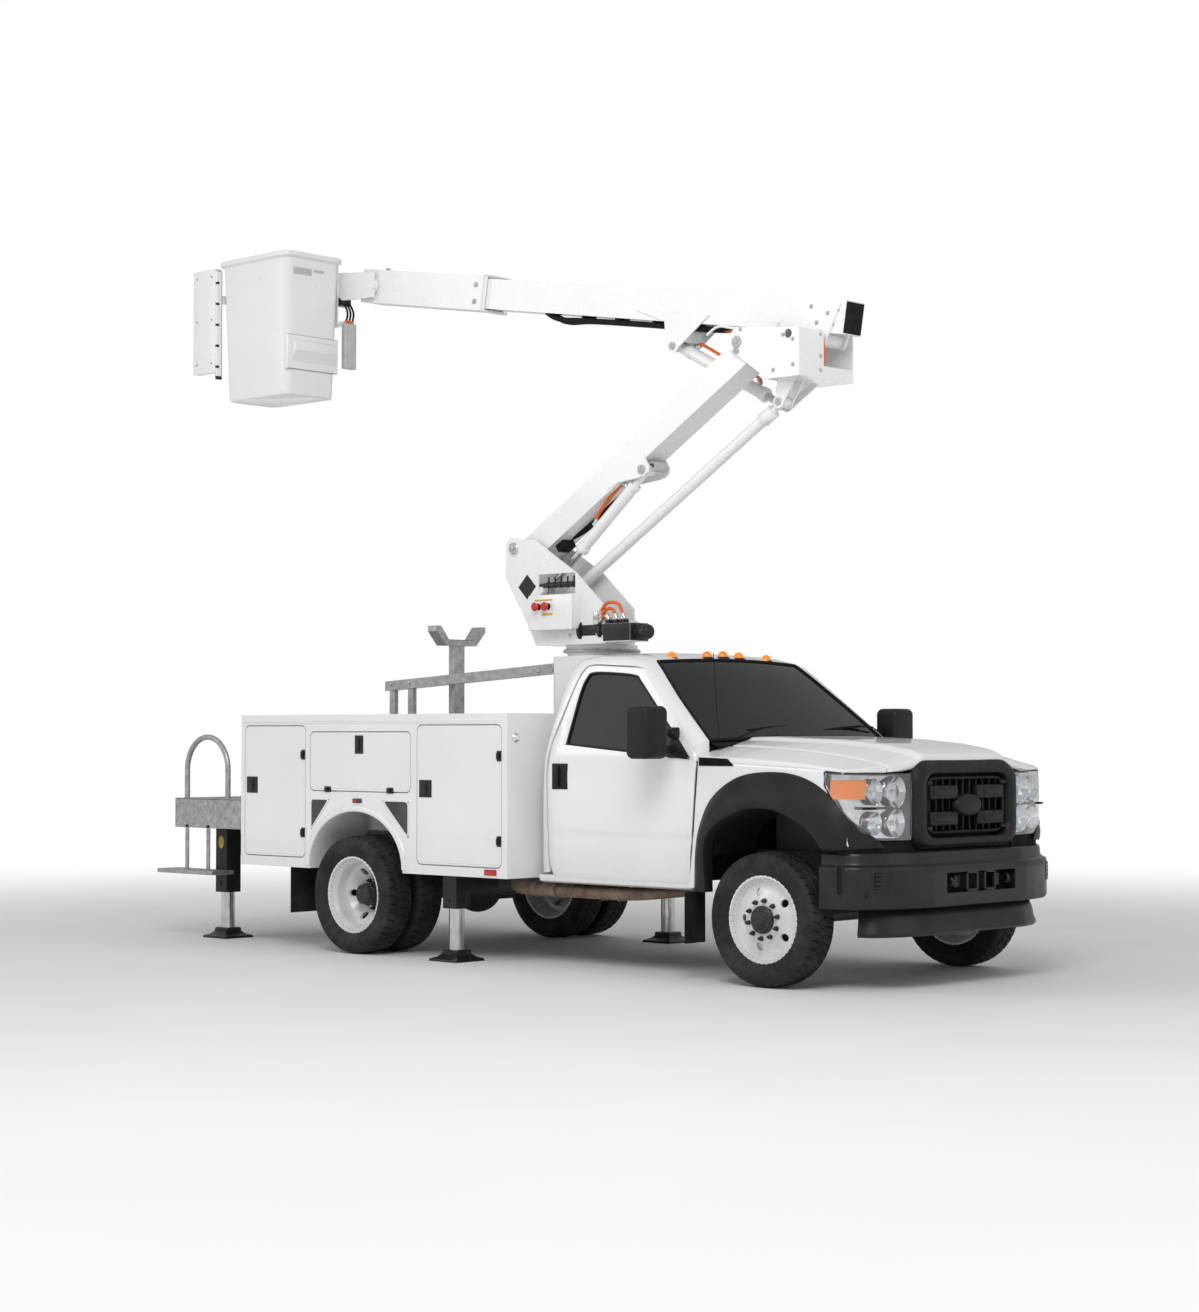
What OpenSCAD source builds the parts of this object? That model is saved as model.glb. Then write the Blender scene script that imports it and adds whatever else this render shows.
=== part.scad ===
// Utility truck with a slewing, folding and telescoping boom that carries a work bucket.
// Millimetres. +X forward, +Y left, +Z up, Z = 0 is the ground. Sizes along X are given from
// the front axle, and placed() moves the whole truck so that its box is centred on the origin.

/* [Chassis] */
// Front axle to rear axle
wheelbase = 3510; // [3400:10:3700]
// Width over the frame rails
frame_w = 864; // [800:2:900]
// Depth of a frame rail
rail_h = 200; // [150:5:240]
// Flange width of a frame rail
rail_flange = 75; // [60:1:90]
// Top of the frame rails above the ground
rail_top = 780; // [760:5:800]
// Front axle to the foremost point of the bumper
front_overhang = 833; // [820:1:1000]

/* [Wheels] */
// Outer diameter of a tyre
tyre_d = 800; // [760:2:810]
// Width of a tyre
tyre_w = 226; // [200:1:235]
// Diameter of the rim flange
rim_d = 521; // [500:1:540]
// Centre of the truck to the middle of a front tyre
front_track_half = 950; // [940:1:970]
// Centre of the truck to the middle of an outer rear tyre
rear_outer_half = 1085; // [1080:1:1092]
// Spacing of the two tyres of a rear pair
twin_spacing = 280; // [262:1:290]
// Centre of the truck to the steering pivot of a front wheel
kingpin_half = 790; // [770:1:800]
// Diameter of the wheel spindles
spindle_d = 64; // [50:1:70]

/* [Cab] */
// Half of the cab width at the doors
cab_half = 1000; // [960:1:1010]
// Top of the roof above the ground
roof_top = 2018; // [1980:1:2050]
// Thickness of the cab walls and doors
cab_wall = 80; // [60:1:90]
// Thickness of the window glass
glass_t = 6; // [4:1:8]
// Shut gap round a door
shut_gap = 6; // [5:1:8]

/* [Service body] */
// Half of the width of the service body
body_half = 1194; // [1190:1:1230]
// Front axle to the front face of the service body
body_front = 1988; // [1985:1:2010]
// Front axle to the rear face of the service body
body_rear = 4697; // [4690:1:4720]
// Underside of the side compartments
body_bottom = 567; // [560:1:580]
// Top of the side compartments
body_top = 1626; // [1560:1:1700]
// Depth of a side compartment
side_depth = 450; // [420:1:480]
// Thickness of the body panels
body_wall = 28; // [20:1:34]
// Thickness of a compartment door
lid_t = 30; // [20:1:34]
// Top of the tail shelf
shelf_top = 1022; // [1000:1:1040]
// Front axle to the rear edge of the tail shelf
shelf_rear = 5592; // [5560:1:5640]

/* [Outriggers] */
// Outer side of an outrigger housing
housing_w = 130; // [124:1:136]
// Diameter of an outrigger leg
leg_d = 102; // [90:1:106]
// Side of a foot pad
pad_w = 270; // [220:5:300]
// Thickness of a foot pad
pad_t = 30; // [20:1:40]
// Travel of an outrigger leg
leg_travel = 250; // [200:5:255]

/* [Boom] */
// Front axle to the slewing axis
slew_back = 2288; // [2280:1:2300]
// Height of the slewing ring's top face
slew_top = 2096; // [2080:1:2110]
// Height of the lower boom's pivot
heel_z = 2770; // [2740:1:2790]
// Slewing axis back to the lower boom's pivot
heel_back = 547; // [530:1:560]
// Distance between the lower boom's two pivots
lower_len = 2338; // [2250:1:2400]
// Elevation of the lower boom
lower_angle = 31.5; // [28:0.5:36]
// Elevation of the lower boom when it is stowed
lower_stow = -13.5; // [-14:0.1:-12]
// Elevation of the upper boom when it is stowed, below level towards the bucket
upper_stow = -1.4; // [-2:0.1:-0.5]
// Height of the lower boom's section
lower_h = 180; // [160:1:190]
// Width of the lower boom's section
lower_w = 206; // [180:1:208]
// Height of the upper boom's section
upper_h = 214; // [200:1:220]
// Width of the upper boom's section
upper_w = 186; // [160:1:190]
// Length of the outer upper boom ahead of its telescope
upper_len = 3330; // [3000:10:3500]
// Elevation of the upper boom
upper_angle = 9.4; // [6:0.2:14]
// Length of the sleeve at the boom tip
sleeve_len = 1345; // [1200:5:1400]
// Thickness of the boom walls
boom_t = 12; // [8:1:16]

/* [Bucket] */
// Length of the bucket's rim
bucket_l = 823; // [760:1:860]
// Width of the bucket's rim
bucket_w = 582; // [560:1:590]
// Height of the bucket
bucket_h = 1066; // [950:1:1150]
// Thickness of the bucket's wall
bucket_t = 10; // [6:1:16]

/* [Hidden] */
$fn = 48;

// running fit between a pin and its bore, and the clearance of moving panels
run = 0.05;
clear = 5;
hub_z = tyre_d / 2;
rim_r = rim_d / 2;
rail_y = frame_w / 2;
rail_z0 = rail_top - rail_h;

// boom linkage, as points [x, z] from the front axle
heel = [-slew_back - heel_back, heel_z];
function along(p, a, d) = [p[0] + d * cos(a), p[1] + d * sin(a)];
function local(p, a, u, w) = [p[0] + u * cos(a) - w * sin(a), p[1] + u * sin(a) + w * cos(a)];
function dist(p, q) = norm(q - p);
function angle_of(p, q) = atan2(q[1] - p[1], q[0] - p[0]);
wrist = along(heel, lower_angle, lower_len);
// elbow points that are fixed to the lower boom's upper pivot
link_top = wrist + [242, -392];
link_foot = link_top - (wrist - heel);
upper_pivot = wrist + [421, 8];
fold_eye = wrist + [52, -372];
// lift cylinder: its head on the lower boom and its eye in the turret
lift_head = local(heel, lower_angle, 1230, -205);
lift_eye = heel + [230, -295];
// the upper boom points backwards from its pivot; back_angle is its direction
back_angle = 180 - upper_angle;
upper_mid = 148;
fold_head = local(upper_pivot, back_angle, 1230, 118);
sleeve_u0 = 3105;
tip_u = sleeve_u0 + 1215;
tip = local(upper_pivot, back_angle, tip_u, -upper_mid);
// planes of the boom parts across the truck
lower_y = -150;
upper_y = 120;
lift_y = -200;
link_y = -103;
elbow_half = 275;
plate_t = 12;

// bucket, hung from the tip, and the whole truck's ends
bucket_front = tip[0] - 240;
bucket_rear = bucket_front - bucket_l;
bucket_top = tip[1] + 223;
bucket_y1 = -58;
cover_l = 285;
step_rear = shelf_rear + 150;
rear_end = min(bucket_rear - cover_l, -step_rear);
axle_x = -(front_overhang + rear_end) / 2;

module placed() translate([axle_x, 0, 0]) children();
module mirrored() mirror([0, 1, 0]) children();
module both() {
    children();
    mirror([0, 1, 0]) children();
}
module block(x0, x1, y0, y1, z0, z1) translate([x0, y0, z0]) cube([x1 - x0, y1 - y0, z1 - z0]);
// an outline of [x, z] points carried across the truck from y0 to y1
module slab(points, y0, y1) translate([0, y1, 0]) rotate([90, 0, 0]) linear_extrude(y1 - y0)
    polygon(points);
// an outline of [y, z] points carried along the truck from x0 to x1
module bulkhead(points, x0, x1) translate([x0, 0, 0]) rotate([90, 0, 90]) linear_extrude(x1 - x0)
    polygon(points);
// a round bar across the truck at [x, z]
module cross_pin(p, r, y0, y1) translate([p[0], y0, p[1]]) rotate([-90, 0, 0])
    cylinder(r = r, h = y1 - y0);
// a round bar from a to b, two [x, z] points in the plane y
module bar(a, b, y, r) translate([a[0], y, a[1]]) rotate([0, 90 - angle_of(a, b), 0])
    cylinder(r = r, h = dist(a, b));
// what is drawn along +X is turned to elevation a at the point p in the plane y
module aimed(p, a, y) translate([p[0], y, p[1]]) rotate([0, -a, 0]) children();
// the upper half of an ellipse as [x, z] points, from front to rear
function arch(cx, cz, rx, rz, n = 24) = [for (i = [0:n])
    [cx + rx * cos(180 * i / n), cz + rz * sin(180 * i / n)]];

// ---------------------------------------------------------------- running gear

cross_x = [560, -1700, -2260, -2900, -4100, -4680, -5380];
mount_x = [-760, -1780];
floor_under = rail_top + 10;
tow_pin = [-5440, 645];
tow_pin_r = 8;

module frame_rail() difference() {
    block(-5420, 600, -rail_y, -rail_y + rail_flange, rail_z0, rail_top);
    block(-5430, 610, -rail_y + 8, -rail_y + rail_flange + 1, rail_z0 + 8, rail_top - 8);
}

module chassis_frame() color("dimgray") placed() {
    both() frame_rail();
    for (x = cross_x) block(x - 30, x + 30, -rail_y + 8, rail_y - 8, rail_top - 90, rail_top - 8);
    // towing receiver with its cross bore
    difference() {
        block(-5480, -5380, -45, 45, 600, rail_top - 89);
        block(-5490, -5400, -32, 32, 613, 677);
        cross_pin(tow_pin, tow_pin_r, -60, 60);
    }
    // rubber mounts under the cab
    both() for (x = mount_x) translate([x, -rail_y + 38, rail_top - 1])
        cylinder(r = 34, h = floor_under - rail_top + 1);
}

module powertrain() color("gray") placed() {
    block(-520, 330, -280, 280, 560, 1180);
    both() block(-60, 60, -rail_y + rail_flange, -279, 640, rail_top);
    slab([[-520, 580], [-520, 780], [-1180, 740], [-1180, 600]], -150, 150);
    translate([-wheelbase + 215, 0, hub_z + 20]) rotate([0, 82.7, 0]) cylinder(r = 50, h = 2130);
}

kingpin_r = 18;
module front_axle() color("dimgray") placed() {
    cross_pin([0, hub_z], 120, 180, 330);
    difference() {
        union() {
            cross_pin([0, hub_z], 45, -kingpin_half + 20, kingpin_half - 20);
            both() translate([0, -kingpin_half, hub_z - 75]) cylinder(r = 55, h = 150);
        }
        both() translate([0, -kingpin_half, hub_z - 80]) cylinder(r = kingpin_r + run, h = 160);
    }
    both() translate([0, -394, hub_z + 30]) cylinder(r = 62, h = rail_z0 - hub_z - 30);
}

module left_knuckle() mirrored() right_knuckle();

module right_knuckle() color("dimgray") placed() {
    for (z = [hub_z - 115, hub_z + 80])
        block(-45, 45, -kingpin_half - 70, -kingpin_half + 45, z, z + 35);
    block(-60, 60, -kingpin_half - 90, -kingpin_half - 62, hub_z - 115, hub_z + 115);
    translate([0, -kingpin_half, hub_z - 100]) cylinder(r = kingpin_r, h = 200);
    cross_pin([0, hub_z], spindle_d / 2, -front_track_half - 95, -kingpin_half - 80);
    cross_pin([0, hub_z], 150, -kingpin_half - 96, -kingpin_half - 84);
}

// half outline of a rim as [radius, y] points, y = 0 at its middle; the disc is added apart
module rim_barrel(half_w) rotate([90, 0, 0]) rotate_extrude() polygon([
    [rim_r, half_w], [rim_r, half_w - 9], [rim_r - 13, half_w - 14], [rim_r - 15, half_w - 40],
    [rim_r - 34, half_w - 62], [rim_r - 34, 62 - half_w], [rim_r - 15, 40 - half_w],
    [rim_r - 13, 14 - half_w], [rim_r, 9 - half_w], [rim_r, -half_w], [rim_r - 12, -half_w],
    [rim_r - 26, 30 - half_w], [rim_r - 44, 60 - half_w], [rim_r - 44, half_w - 60],
    [rim_r - 26, half_w - 30], [rim_r - 12, half_w]]);

// a wheel disc round the axis, face towards -Y: y_hub at the hub and y_rim at the barrel
module rim_disc(y_hub, y_rim, y_in) difference() {
    rotate([90, 0, 0]) rotate_extrude() polygon([
        [spindle_d / 2 + run, -y_hub], [110, -y_hub], [135, -y_hub - 12], [rim_r - 70, -y_rim],
        [rim_r - 36, -y_rim], [rim_r - 36, -y_rim - 12], [rim_r - 74, -y_rim - 12],
        [130, -y_hub - 26], [80, -y_hub - 26], [80, -y_in], [spindle_d / 2 + run, -y_in]]);
    for (a = [36:72:360]) rotate([0, a, 0]) translate([170, 200, 0]) rotate([90, 0, 0])
        cylinder(r = 24, h = 400);
}

// the deep disc of a twin wheel: it meets its neighbour half way between the two tyres
module twin_disc() difference() {
    rotate([90, 0, 0]) rotate_extrude() polygon([
        [spindle_d / 2 + run, 26 - twin_spacing / 2], [110, 26 - twin_spacing / 2],
        [rim_r - 80, -34], [rim_r - 37, -30], [rim_r - 37, -44], [rim_r - 74, -48],
        [124, -twin_spacing / 2], [spindle_d / 2 + run, -twin_spacing / 2]]);
    for (a = [36:72:360]) rotate([0, a, 0]) translate([158, 200, 0]) rotate([90, 0, 0])
        cylinder(r = 24, h = 400);
}

module front_rim() {
    rim_barrel(87);
    rim_disc(-80, -40, 60);
}

module right_front_rim() color("white") placed() translate([0, -front_track_half, hub_z])
    front_rim();
module left_front_rim() mirrored() right_front_rim();

module right_rear_rims() color("white") placed() translate([-wheelbase, -rear_outer_half, hub_z]) {
    rim_barrel(87);
    twin_disc();
    translate([0, twin_spacing, 0]) mirrored() {
        rim_barrel(87);
        twin_disc();
    }
}
module left_rear_rims() mirrored() right_rear_rims();

module tyre() rotate([90, 0, 0]) rotate_extrude($fn = 96) polygon([
    [hub_z, -75], [hub_z, 75], [hub_z - 8, 92], [hub_z - 30, 104], [hub_z - 75, tyre_w / 2],
    [rim_r + 42, tyre_w / 2 - 2], [rim_r + 12, 92], [rim_r + 1, 87], [rim_r + 1, 72.5],
    [rim_r - 12.7, 72.5], [rim_r - 14.7, 47], [rim_r - 14.7, -47], [rim_r - 12.7, -72.5],
    [rim_r + 1, -72.5], [rim_r + 1, -87], [rim_r + 12, -92], [rim_r + 42, 2 - tyre_w / 2],
    [hub_z - 75, -tyre_w / 2],
    [hub_z - 30, -104], [hub_z - 8, -92]]);

module right_front_tyre() color([0.1, 0.1, 0.1]) placed()
    translate([0, -front_track_half, hub_z]) tyre();
module left_front_tyre() mirrored() right_front_tyre();

module right_rear_tyres() color([0.1, 0.1, 0.1]) placed()
    for (y = [-rear_outer_half, twin_spacing - rear_outer_half])
        translate([-wheelbase, y, hub_z]) tyre();
module left_rear_tyres() mirrored() right_rear_tyres();

spring_y = 500;
module rear_axle() color("dimgray") placed() {
    cross_pin([-wheelbase, hub_z], 60, -640, 640);
    translate([-wheelbase, 0, hub_z]) sphere(r = 175);
    both() {
        cross_pin([-wheelbase, hub_z], spindle_d / 2, -rear_outer_half + 10, -639);
        slab([[-wheelbase - 90, hub_z + 50], [-wheelbase + 90, hub_z + 50],
            [-wheelbase + 640, rail_z0 + 60], [-wheelbase + 640, rail_z0 + 76],
            [-wheelbase + 90, hub_z + 120], [-wheelbase - 90, hub_z + 120],
            [-wheelbase - 640, rail_z0 + 76], [-wheelbase - 640, rail_z0 + 60]],
            -spring_y - 38, -spring_y + 38);
        for (x = [-wheelbase - 620, -wheelbase + 620])
            cross_pin([x, rail_z0 + 68], 20, -spring_y - 30, -rail_y);
    }
}

// ---------------------------------------------------------------- cab

// side outline of the cab, [x, z], and the same line set in by a wall
cab_side = [[-1935, 560], [-1927, 748], [-1874, 1454], [-1836, 1800], [-1812, 1930],
    [-1760, 1990], [-1640, 2012], [-1480, roof_top], [-1330, 2004], [-1200, 1962],
    [-1140, 1918], [-560, 1474], [-545, 1440], [-545, 1000], [-640, 545]];
// front edge of the doors and rear edge of the fenders share these points
door_front = [[-640, 560], [-598, 900], [-560, 1322]];
fender_in = 918;
cab_front = [[-960, 530], [-cab_half + 8, 740], [-cab_half, 1000], [-cab_half + 2, 1300],
    [-cab_half + 20, 1420], [-838, 1888], [-790, 1956], [-690, 1996], [-420, 2015],
    [0, roof_top + 1]];

module cab_volume(inset) intersection() {
    translate([0, 1100, 0]) rotate([90, 0, 0]) linear_extrude(2200) offset(delta = -inset)
        polygon(cab_side);
    translate([-2100, 0, 0]) rotate([90, 0, 90]) linear_extrude(1700) offset(delta = -inset)
        polygon(concat(cab_front, [for (i = [8:-1:0]) [-cab_front[i][0], cab_front[i][1]]]));
}

// the right door's outline, its cut in the cab (grow > 0) and its window
module door_outline(grow) offset(delta = grow) polygon(concat(door_front, [[-600, 1408], [-1096, 1868], [-1160, 1906], [-1590, 1930], [-1650, 1900], [-1700, 1800],
    [-1800, 1440], [-1824, 1200], [-1820, 640], [-1800, 590]]));
module window_outline(grow) offset(delta = grow) polygon([[-770, 1352], [-770, 1480],
    [-1130, 1826], [-1190, 1868], [-1570, 1880], [-1620, 1850], [-1650, 1760], [-1668, 1440],
    [-1640, 1412]]);
// the side wall's own thickness and a little more, so that the front and rear walls stay whole
module right_side_prism() intersection() {
    translate([0, -700, 0]) rotate([90, 0, 0]) linear_extrude(500) children();
    bulkhead([[-1200, 500], [-865, 500], [-900, 800], [-905, 1300], [-888, 1400], [-831, 1600],
        [-743, 1888], [-700, 1960], [-1200, 1960]], -2100, -300);
}

module windshield_outline() polygon([[-740, 1500], [-640, 1900], [-500, 1915], [500, 1915],
    [640, 1900], [740, 1500], [700, 1476], [-700, 1476]]);
module front_prism() translate([-1500, 0, 0]) rotate([90, 0, 90]) linear_extrude(1200) children();
module rear_window() block(-2000, -1700, -560, 560, 1500, 1860);

hood_pin = [-554, 1466];
module cab_shell() color("white") placed() {
    cab_body();
    both() cross_pin(hood_pin, 5, -290, -240);
}
module cab_body() difference() {
    cab_volume(0);
    difference() {
        cab_volume(cab_wall);
        // the middle of the floor is raised over the frame rails
        block(-2000, -400, -rail_y - 70, rail_y + 70, 500, floor_under + 60);
    }
    block(-2000, -400, -rail_y - 12, rail_y + 12, 500, floor_under);
    right_side_prism() door_outline(shut_gap);
    mirrored() right_side_prism() door_outline(shut_gap);
    intersection() {
        front_prism() windshield_outline();
        slab([[-1300, 1880], [-1220, 2100], [-300, 1500], [-450, 1330]], -900, 900);
    }
    rear_window();
    // room for the rear edges of the fenders, and for the hood's hinge lugs
    both() {
        slab([[-664, 400], [-608, 900], [-572, 1322], [-572, 1376], [-300, 1376], [-300, 400]],
            -1100, -fender_in);
        block(-568, -500, -284, -246, 1450, 1500);
    }
}

module cab_glass() color([0.1, 0.12, 0.13]) placed() {
    intersection() {
        front_prism() windshield_outline();
        slab([[-1300, 1880], [-1220, 2100], [-300, 1500], [-450, 1330]], -900, 900);
        difference() {
            cab_volume(14);
            cab_volume(14 + glass_t);
        }
    }
    intersection() {
        rear_window();
        difference() {
            cab_volume(14);
            cab_volume(14 + glass_t);
        }
    }
}

module right_door() color("white") placed() difference() {
    intersection() {
        right_side_prism() door_outline(0);
        difference() {
            cab_volume(0);
            cab_volume(cab_wall);
        }
    }
    right_side_prism() window_outline(0);
    // the door opens past the rear post: its inner edge is set back
    block(-1900, -1806, -960, 0, 500, 1950);
    slab([[-1900, 1400], [-1780, 1400], [-1640, 1960], [-1900, 1960]], -960, -600);
    mirror_sail();
}
module left_door() mirrored() right_door();

module right_door_glass() color([0.1, 0.12, 0.13]) placed() intersection() {
    right_side_prism() window_outline(0);
    difference() {
        cab_volume(30);
        cab_volume(30 + glass_t);
    }
}
module left_door_glass() mirrored() right_door_glass();

// triangular foot of the mirror in the door's front corner
module mirror_sail() slab([[-618, 1356], [-762, 1356], [-762, 1500], [-742, 1500]],
    -cab_half - 6, -cab_half + 45);
mirror_x = -785;
module right_mirror() color([0.12, 0.12, 0.12]) placed() {
    block(mirror_x - 45, mirror_x + 55, -1345, -1130, 1340, 1665);
    for (z = [1392, 1462]) block(mirror_x + 24, mirror_x + 44, -1135, -cab_half + 40, z, z + 24);
    mirror_sail();
}
module left_mirror() mirrored() right_mirror();

module dashboard() color([0.15, 0.15, 0.15]) placed() {
    slab([[-625, 1050], [-625, 1380], [-760, 1400], [-960, 1330], [-980, 1180], [-860, 1050]],
        -850, 850);
    aimed([-930, 1200], 152, 400) rotate([0, 90, 0]) cylinder(r = 28, h = 235);
    aimed([-1130, 1306], 152, 400) rotate([0, 90, 0]) difference() {
        cylinder(r = 190, h = 30);
        translate([0, 0, -1]) difference() {
            cylinder(r = 162, h = 32);
            cylinder(r = 50, h = 32);
            translate([-15, -200, 0]) cube([30, 400, 32]);
        }
    }
}

seat_y = 400;
module seats() color([0.3, 0.3, 0.31]) placed() for (y = [-seat_y, seat_y]) {
    block(-1740, -1200, y - 260, y + 260, 900, 1040);
    slab([[-1730, 1039], [-1560, 1039], [-1640, 1560], [-1750, 1560]], y - 250, y + 250);
    slab([[-1740, 1600], [-1650, 1600], [-1670, 1760], [-1735, 1760]], y - 130, y + 130);
    for (v = [-60, 60]) translate([-1695, y + v, 1550]) cylinder(r = 8, h = 60);
    block(-1680, -1280, y - 90, y + 90, floor_under + 60, 901);
}

// ---------------------------------------------------------------- front end

hood_side = [[-540, 1474], [-380, 1474], [100, 1456], [400, 1430], [600, 1396], [690, 1362],
    [715, 1352], [715, 1332], [690, 1330], [400, 1384], [100, 1410], [-380, 1430], [-540, 1430]];
hood_half = 720;
module hood() color("white") placed() {
    hood_panel();
    both() difference() {
        block(hood_pin[0] - 8, -530, -280, -250, hood_pin[1] - 9, 1474);
        cross_pin(hood_pin, 5 + run, -300, -200);
    }
}
module hood_panel() intersection() {
    slab(hood_side, -hood_half, hood_half);
    bulkhead([[-hood_half, 1300], [-hood_half, 1392], [-560, 1448], [-300, 1474], [300, 1474],
        [560, 1448], [hood_half, 1392], [hood_half, 1300]], -600, 800);
}

lamp_side = [[604, 880], [700, 872], [704, 1245], [620, 1262], [430, 1274], [430, 1200],
    [520, 1070], [596, 900]];
fender_side = concat([[-553, 1364], [-160, 1350], [200, 1330], [424, 1300], [424, 1200],
    [514, 1068], [590, 896], [590, 806], [420, 806], [420, 700], [-420, 560]],
    [for (p = door_front) [p[0] + shut_gap, p[1]]]);
flare_side = [[-576, 540], [-560, 800], [-480, 1050], [-330, 1200], [-100, 1262], [150, 1262],
    [380, 1190], [540, 1060], [640, 930], [690, 850], [437, 850], [380, 812], [-426, 540]];
wheel_opening = concat([[437, 400]], arch(6, 760, 432, 300), [[-426, 400]]);

module right_fender() {
    // outer panel, with the opening for the wheel cut right through
    difference() {
        slab(fender_side, -985, -925);
        slab(wheel_opening, -1100, -800);
    }
    // top ledge that carries the hood, and the wheel house above the tyre
    slab([[-540, 1364], [424, 1300], [424, 1240], [-540, 1300]], -930, -hood_half - clear - 1);
    slab([[-540, 1300], [424, 1240], [424, 1215], [-540, 1270]], -930, -600);
    block(400, 430, -930, -500, 820, 1235);
    block(400, 600, -518, -500, 820, 1300);
    block(400, 430, -rail_y, -rail_y + rail_flange, rail_top, 821);
    block(400, 430, -501, -rail_y + rail_flange, 820, 850);
    block(-545, -505, -910, -600, 700, 1275);
    block(-520, -505, -930, -600, 700, 1275);
}

module fenders() color("white") placed() {
    both() right_fender();
    // radiator support that joins both sides
    block(570, 600, -518, 518, 820, 1300);
}

module wheel_flares() color([0.13, 0.13, 0.13]) placed() both() difference() {
    slab(flare_side, -1090, -985);
    slab(wheel_opening, -1100, -980);
}

module grille() color([0.14, 0.14, 0.14]) placed() difference() {
    slab([[600, 812], [730, 812], [748, 860], [740, 1290], [705, 1322], [600, 1312]], -518, 518);
    for (z = [856, 1060]) block(640, 800, -470, 470, z, z + 170);
}

module headlamps() color([0.8, 0.82, 0.84]) placed() both() intersection() {
    slab(lamp_side, -985, -523);
    linear_extrude(1400) polygon([[704, -520], [692, -700], [650, -860], [596, -960], [560, -985],
        [400, -985], [400, -520]]);
}

bumper_top = 800;
module front_bumper() color([0.12, 0.12, 0.12]) placed() difference() {
    // plan outline of the bumper and the valance under it
    union() {
        translate([0, 0, 480]) linear_extrude(bumper_top - 480) polygon([[front_overhang, -500],
            [front_overhang, 500], [775, 760], [640, 965], [430, 1048], [430, 990], [610, 915],
            [720, 700], [760, 480], [760, -480], [720, -700], [610, -915], [430, -990],
            [430, -1048], [640, -965], [775, -760]]);
        translate([0, 0, 312]) linear_extrude(172) polygon([[770, -500], [770, 500], [700, 740],
            [600, 850], [560, 850], [660, 700], [720, 480], [720, -480], [660, -700],
            [560, -850], [600, -850], [700, -740]]);
        // brackets back to the frame rails
        both() block(600, 770, -rail_y, -rail_y + rail_flange, 600, 760);
    }
    block(700, 900, -350, 350, 560, 680);
}

// ---------------------------------------------------------------- service body

side_in = body_half - side_depth;
arch_x = -wheelbase + 50;
arch_r = 475;
lid_gap = 5;
// lids as [rear x, front x, bottom z, top z]
lid_rear = [-4653, -3991, 640, 1549];
lid_middle = [-3937, -2907, 1104, 1506];
lid_front = [-2842, -2042, 634, 1551];

module lid(b) block(b[0], b[1], -body_half, -body_half + lid_t, b[2], b[3]);
module lid_cut(b) block(b[0] - lid_gap, b[1] + lid_gap, -body_half - 1, -body_half + lid_t + 0.5,
    b[2] - lid_gap, b[3] + lid_gap);
module bay(b, z1) block(b[0] + 30, b[1] - 30, -body_half + 10, -side_in - body_wall, b[2] + 30, z1);

module side_box() difference() {
    block(-body_rear, -body_front, -body_half, -side_in, body_bottom, body_top);
    for (b = [lid_rear, lid_middle, lid_front]) {
        lid_cut(b);
        bay(b, b[3] - 30);
    }
    // wheel arch, with flat flanks down to the underside
    slab(concat([[arch_x + arch_r, 500]], arch(arch_x, 590, arch_r, 376), [[arch_x - arch_r, 500]]),
        -body_half - 1, -side_in + 1);
    // outrigger tube through the floor and roof of the front bay
    translate([leg_middle[0], -leg_middle[1], 500])
        linear_extrude(1000) square(housing_w + 2, center = true);
}

floor_z = 850;
module service_body() color("white") placed() {
    both() side_box();
    // bed floor on cross bearers, open in front for the pedestal
    block(-body_rear, -2640, -side_in - 1, side_in + 1, floor_z - 30, floor_z);
    for (x = [-2700, -3300, -4000, -4640]) block(x - 30, x + 30, -side_in, side_in, rail_top, floor_z - 29);
    // front bulkhead between the side boxes
    block(-body_front - 40, -body_front, -side_in - 1, side_in + 1, rail_top + 70, 1300);
    // rear posts
    both() block(-body_rear, -body_rear + 60, -side_in - 1, -side_in + 60, floor_z - 1, 1200);
}

module right_rear_lid() color("white") placed() lid(lid_rear);
module right_middle_lid() color("white") placed() lid(lid_middle);
module right_front_lid() color("white") placed() lid(lid_front);
module left_rear_lid() mirrored() right_rear_lid();
module left_middle_lid() mirrored() right_middle_lid();
module left_front_lid() mirrored() right_front_lid();

shelf_half = 1100;
loop_x = [-5525, -5045];
loop_r = 20;
bolt_x = -5250;
module tail_shelf() color("silver") placed() {
    difference() {
        block(-shelf_rear, -body_rear, -shelf_half, shelf_half, shelf_top - 215, shelf_top);
        block(-shelf_rear + 10, -body_rear + 1, -shelf_half + 10, shelf_half - 10,
            shelf_top - 216, shelf_top - 10);
        for (x = [-100, 100], y = [-150, 150]) translate([bolt_x + x, y, shelf_top - 20])
            cylinder(r = 6.5, h = 30);
    }
    // drop frames that hang the shelf from the frame rails
    both() block(-5400, -body_rear, -rail_y + 8, -rail_y + 30, rail_top, shelf_top - 9);
    // grab loop on the kerb side
    for (x = loop_x) translate([x, -1040, shelf_top - 1]) cylinder(r = loop_r, h = 210);
    translate([(loop_x[0] + loop_x[1]) / 2, -1040, shelf_top + 208]) rotate([90, 0, 0])
        rotate_extrude(angle = 180) translate([(loop_x[1] - loop_x[0]) / 2, 0]) circle(r = loop_r);
    // hanging step
    block(-step_rear, -5086, -1150, -950, 470, 500);
    for (x = [-5450, -5200]) block(x - 20, x + 20, -1098, -1090, 499, shelf_top - 214);
}

module mud_flaps() color([0.1, 0.1, 0.1]) placed() both() {
    block(-4150, -4142, -1190, -660, 250, body_bottom);
    block(-573, -565, -1085, -900, 230, 540);
}

// ---------------------------------------------------------------- outriggers

leg_rear = [-5260, 865];
leg_middle = [-2620, 1040];
rear_housing = [333, shelf_top - 12];
middle_housing = [345, 1400];

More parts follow.
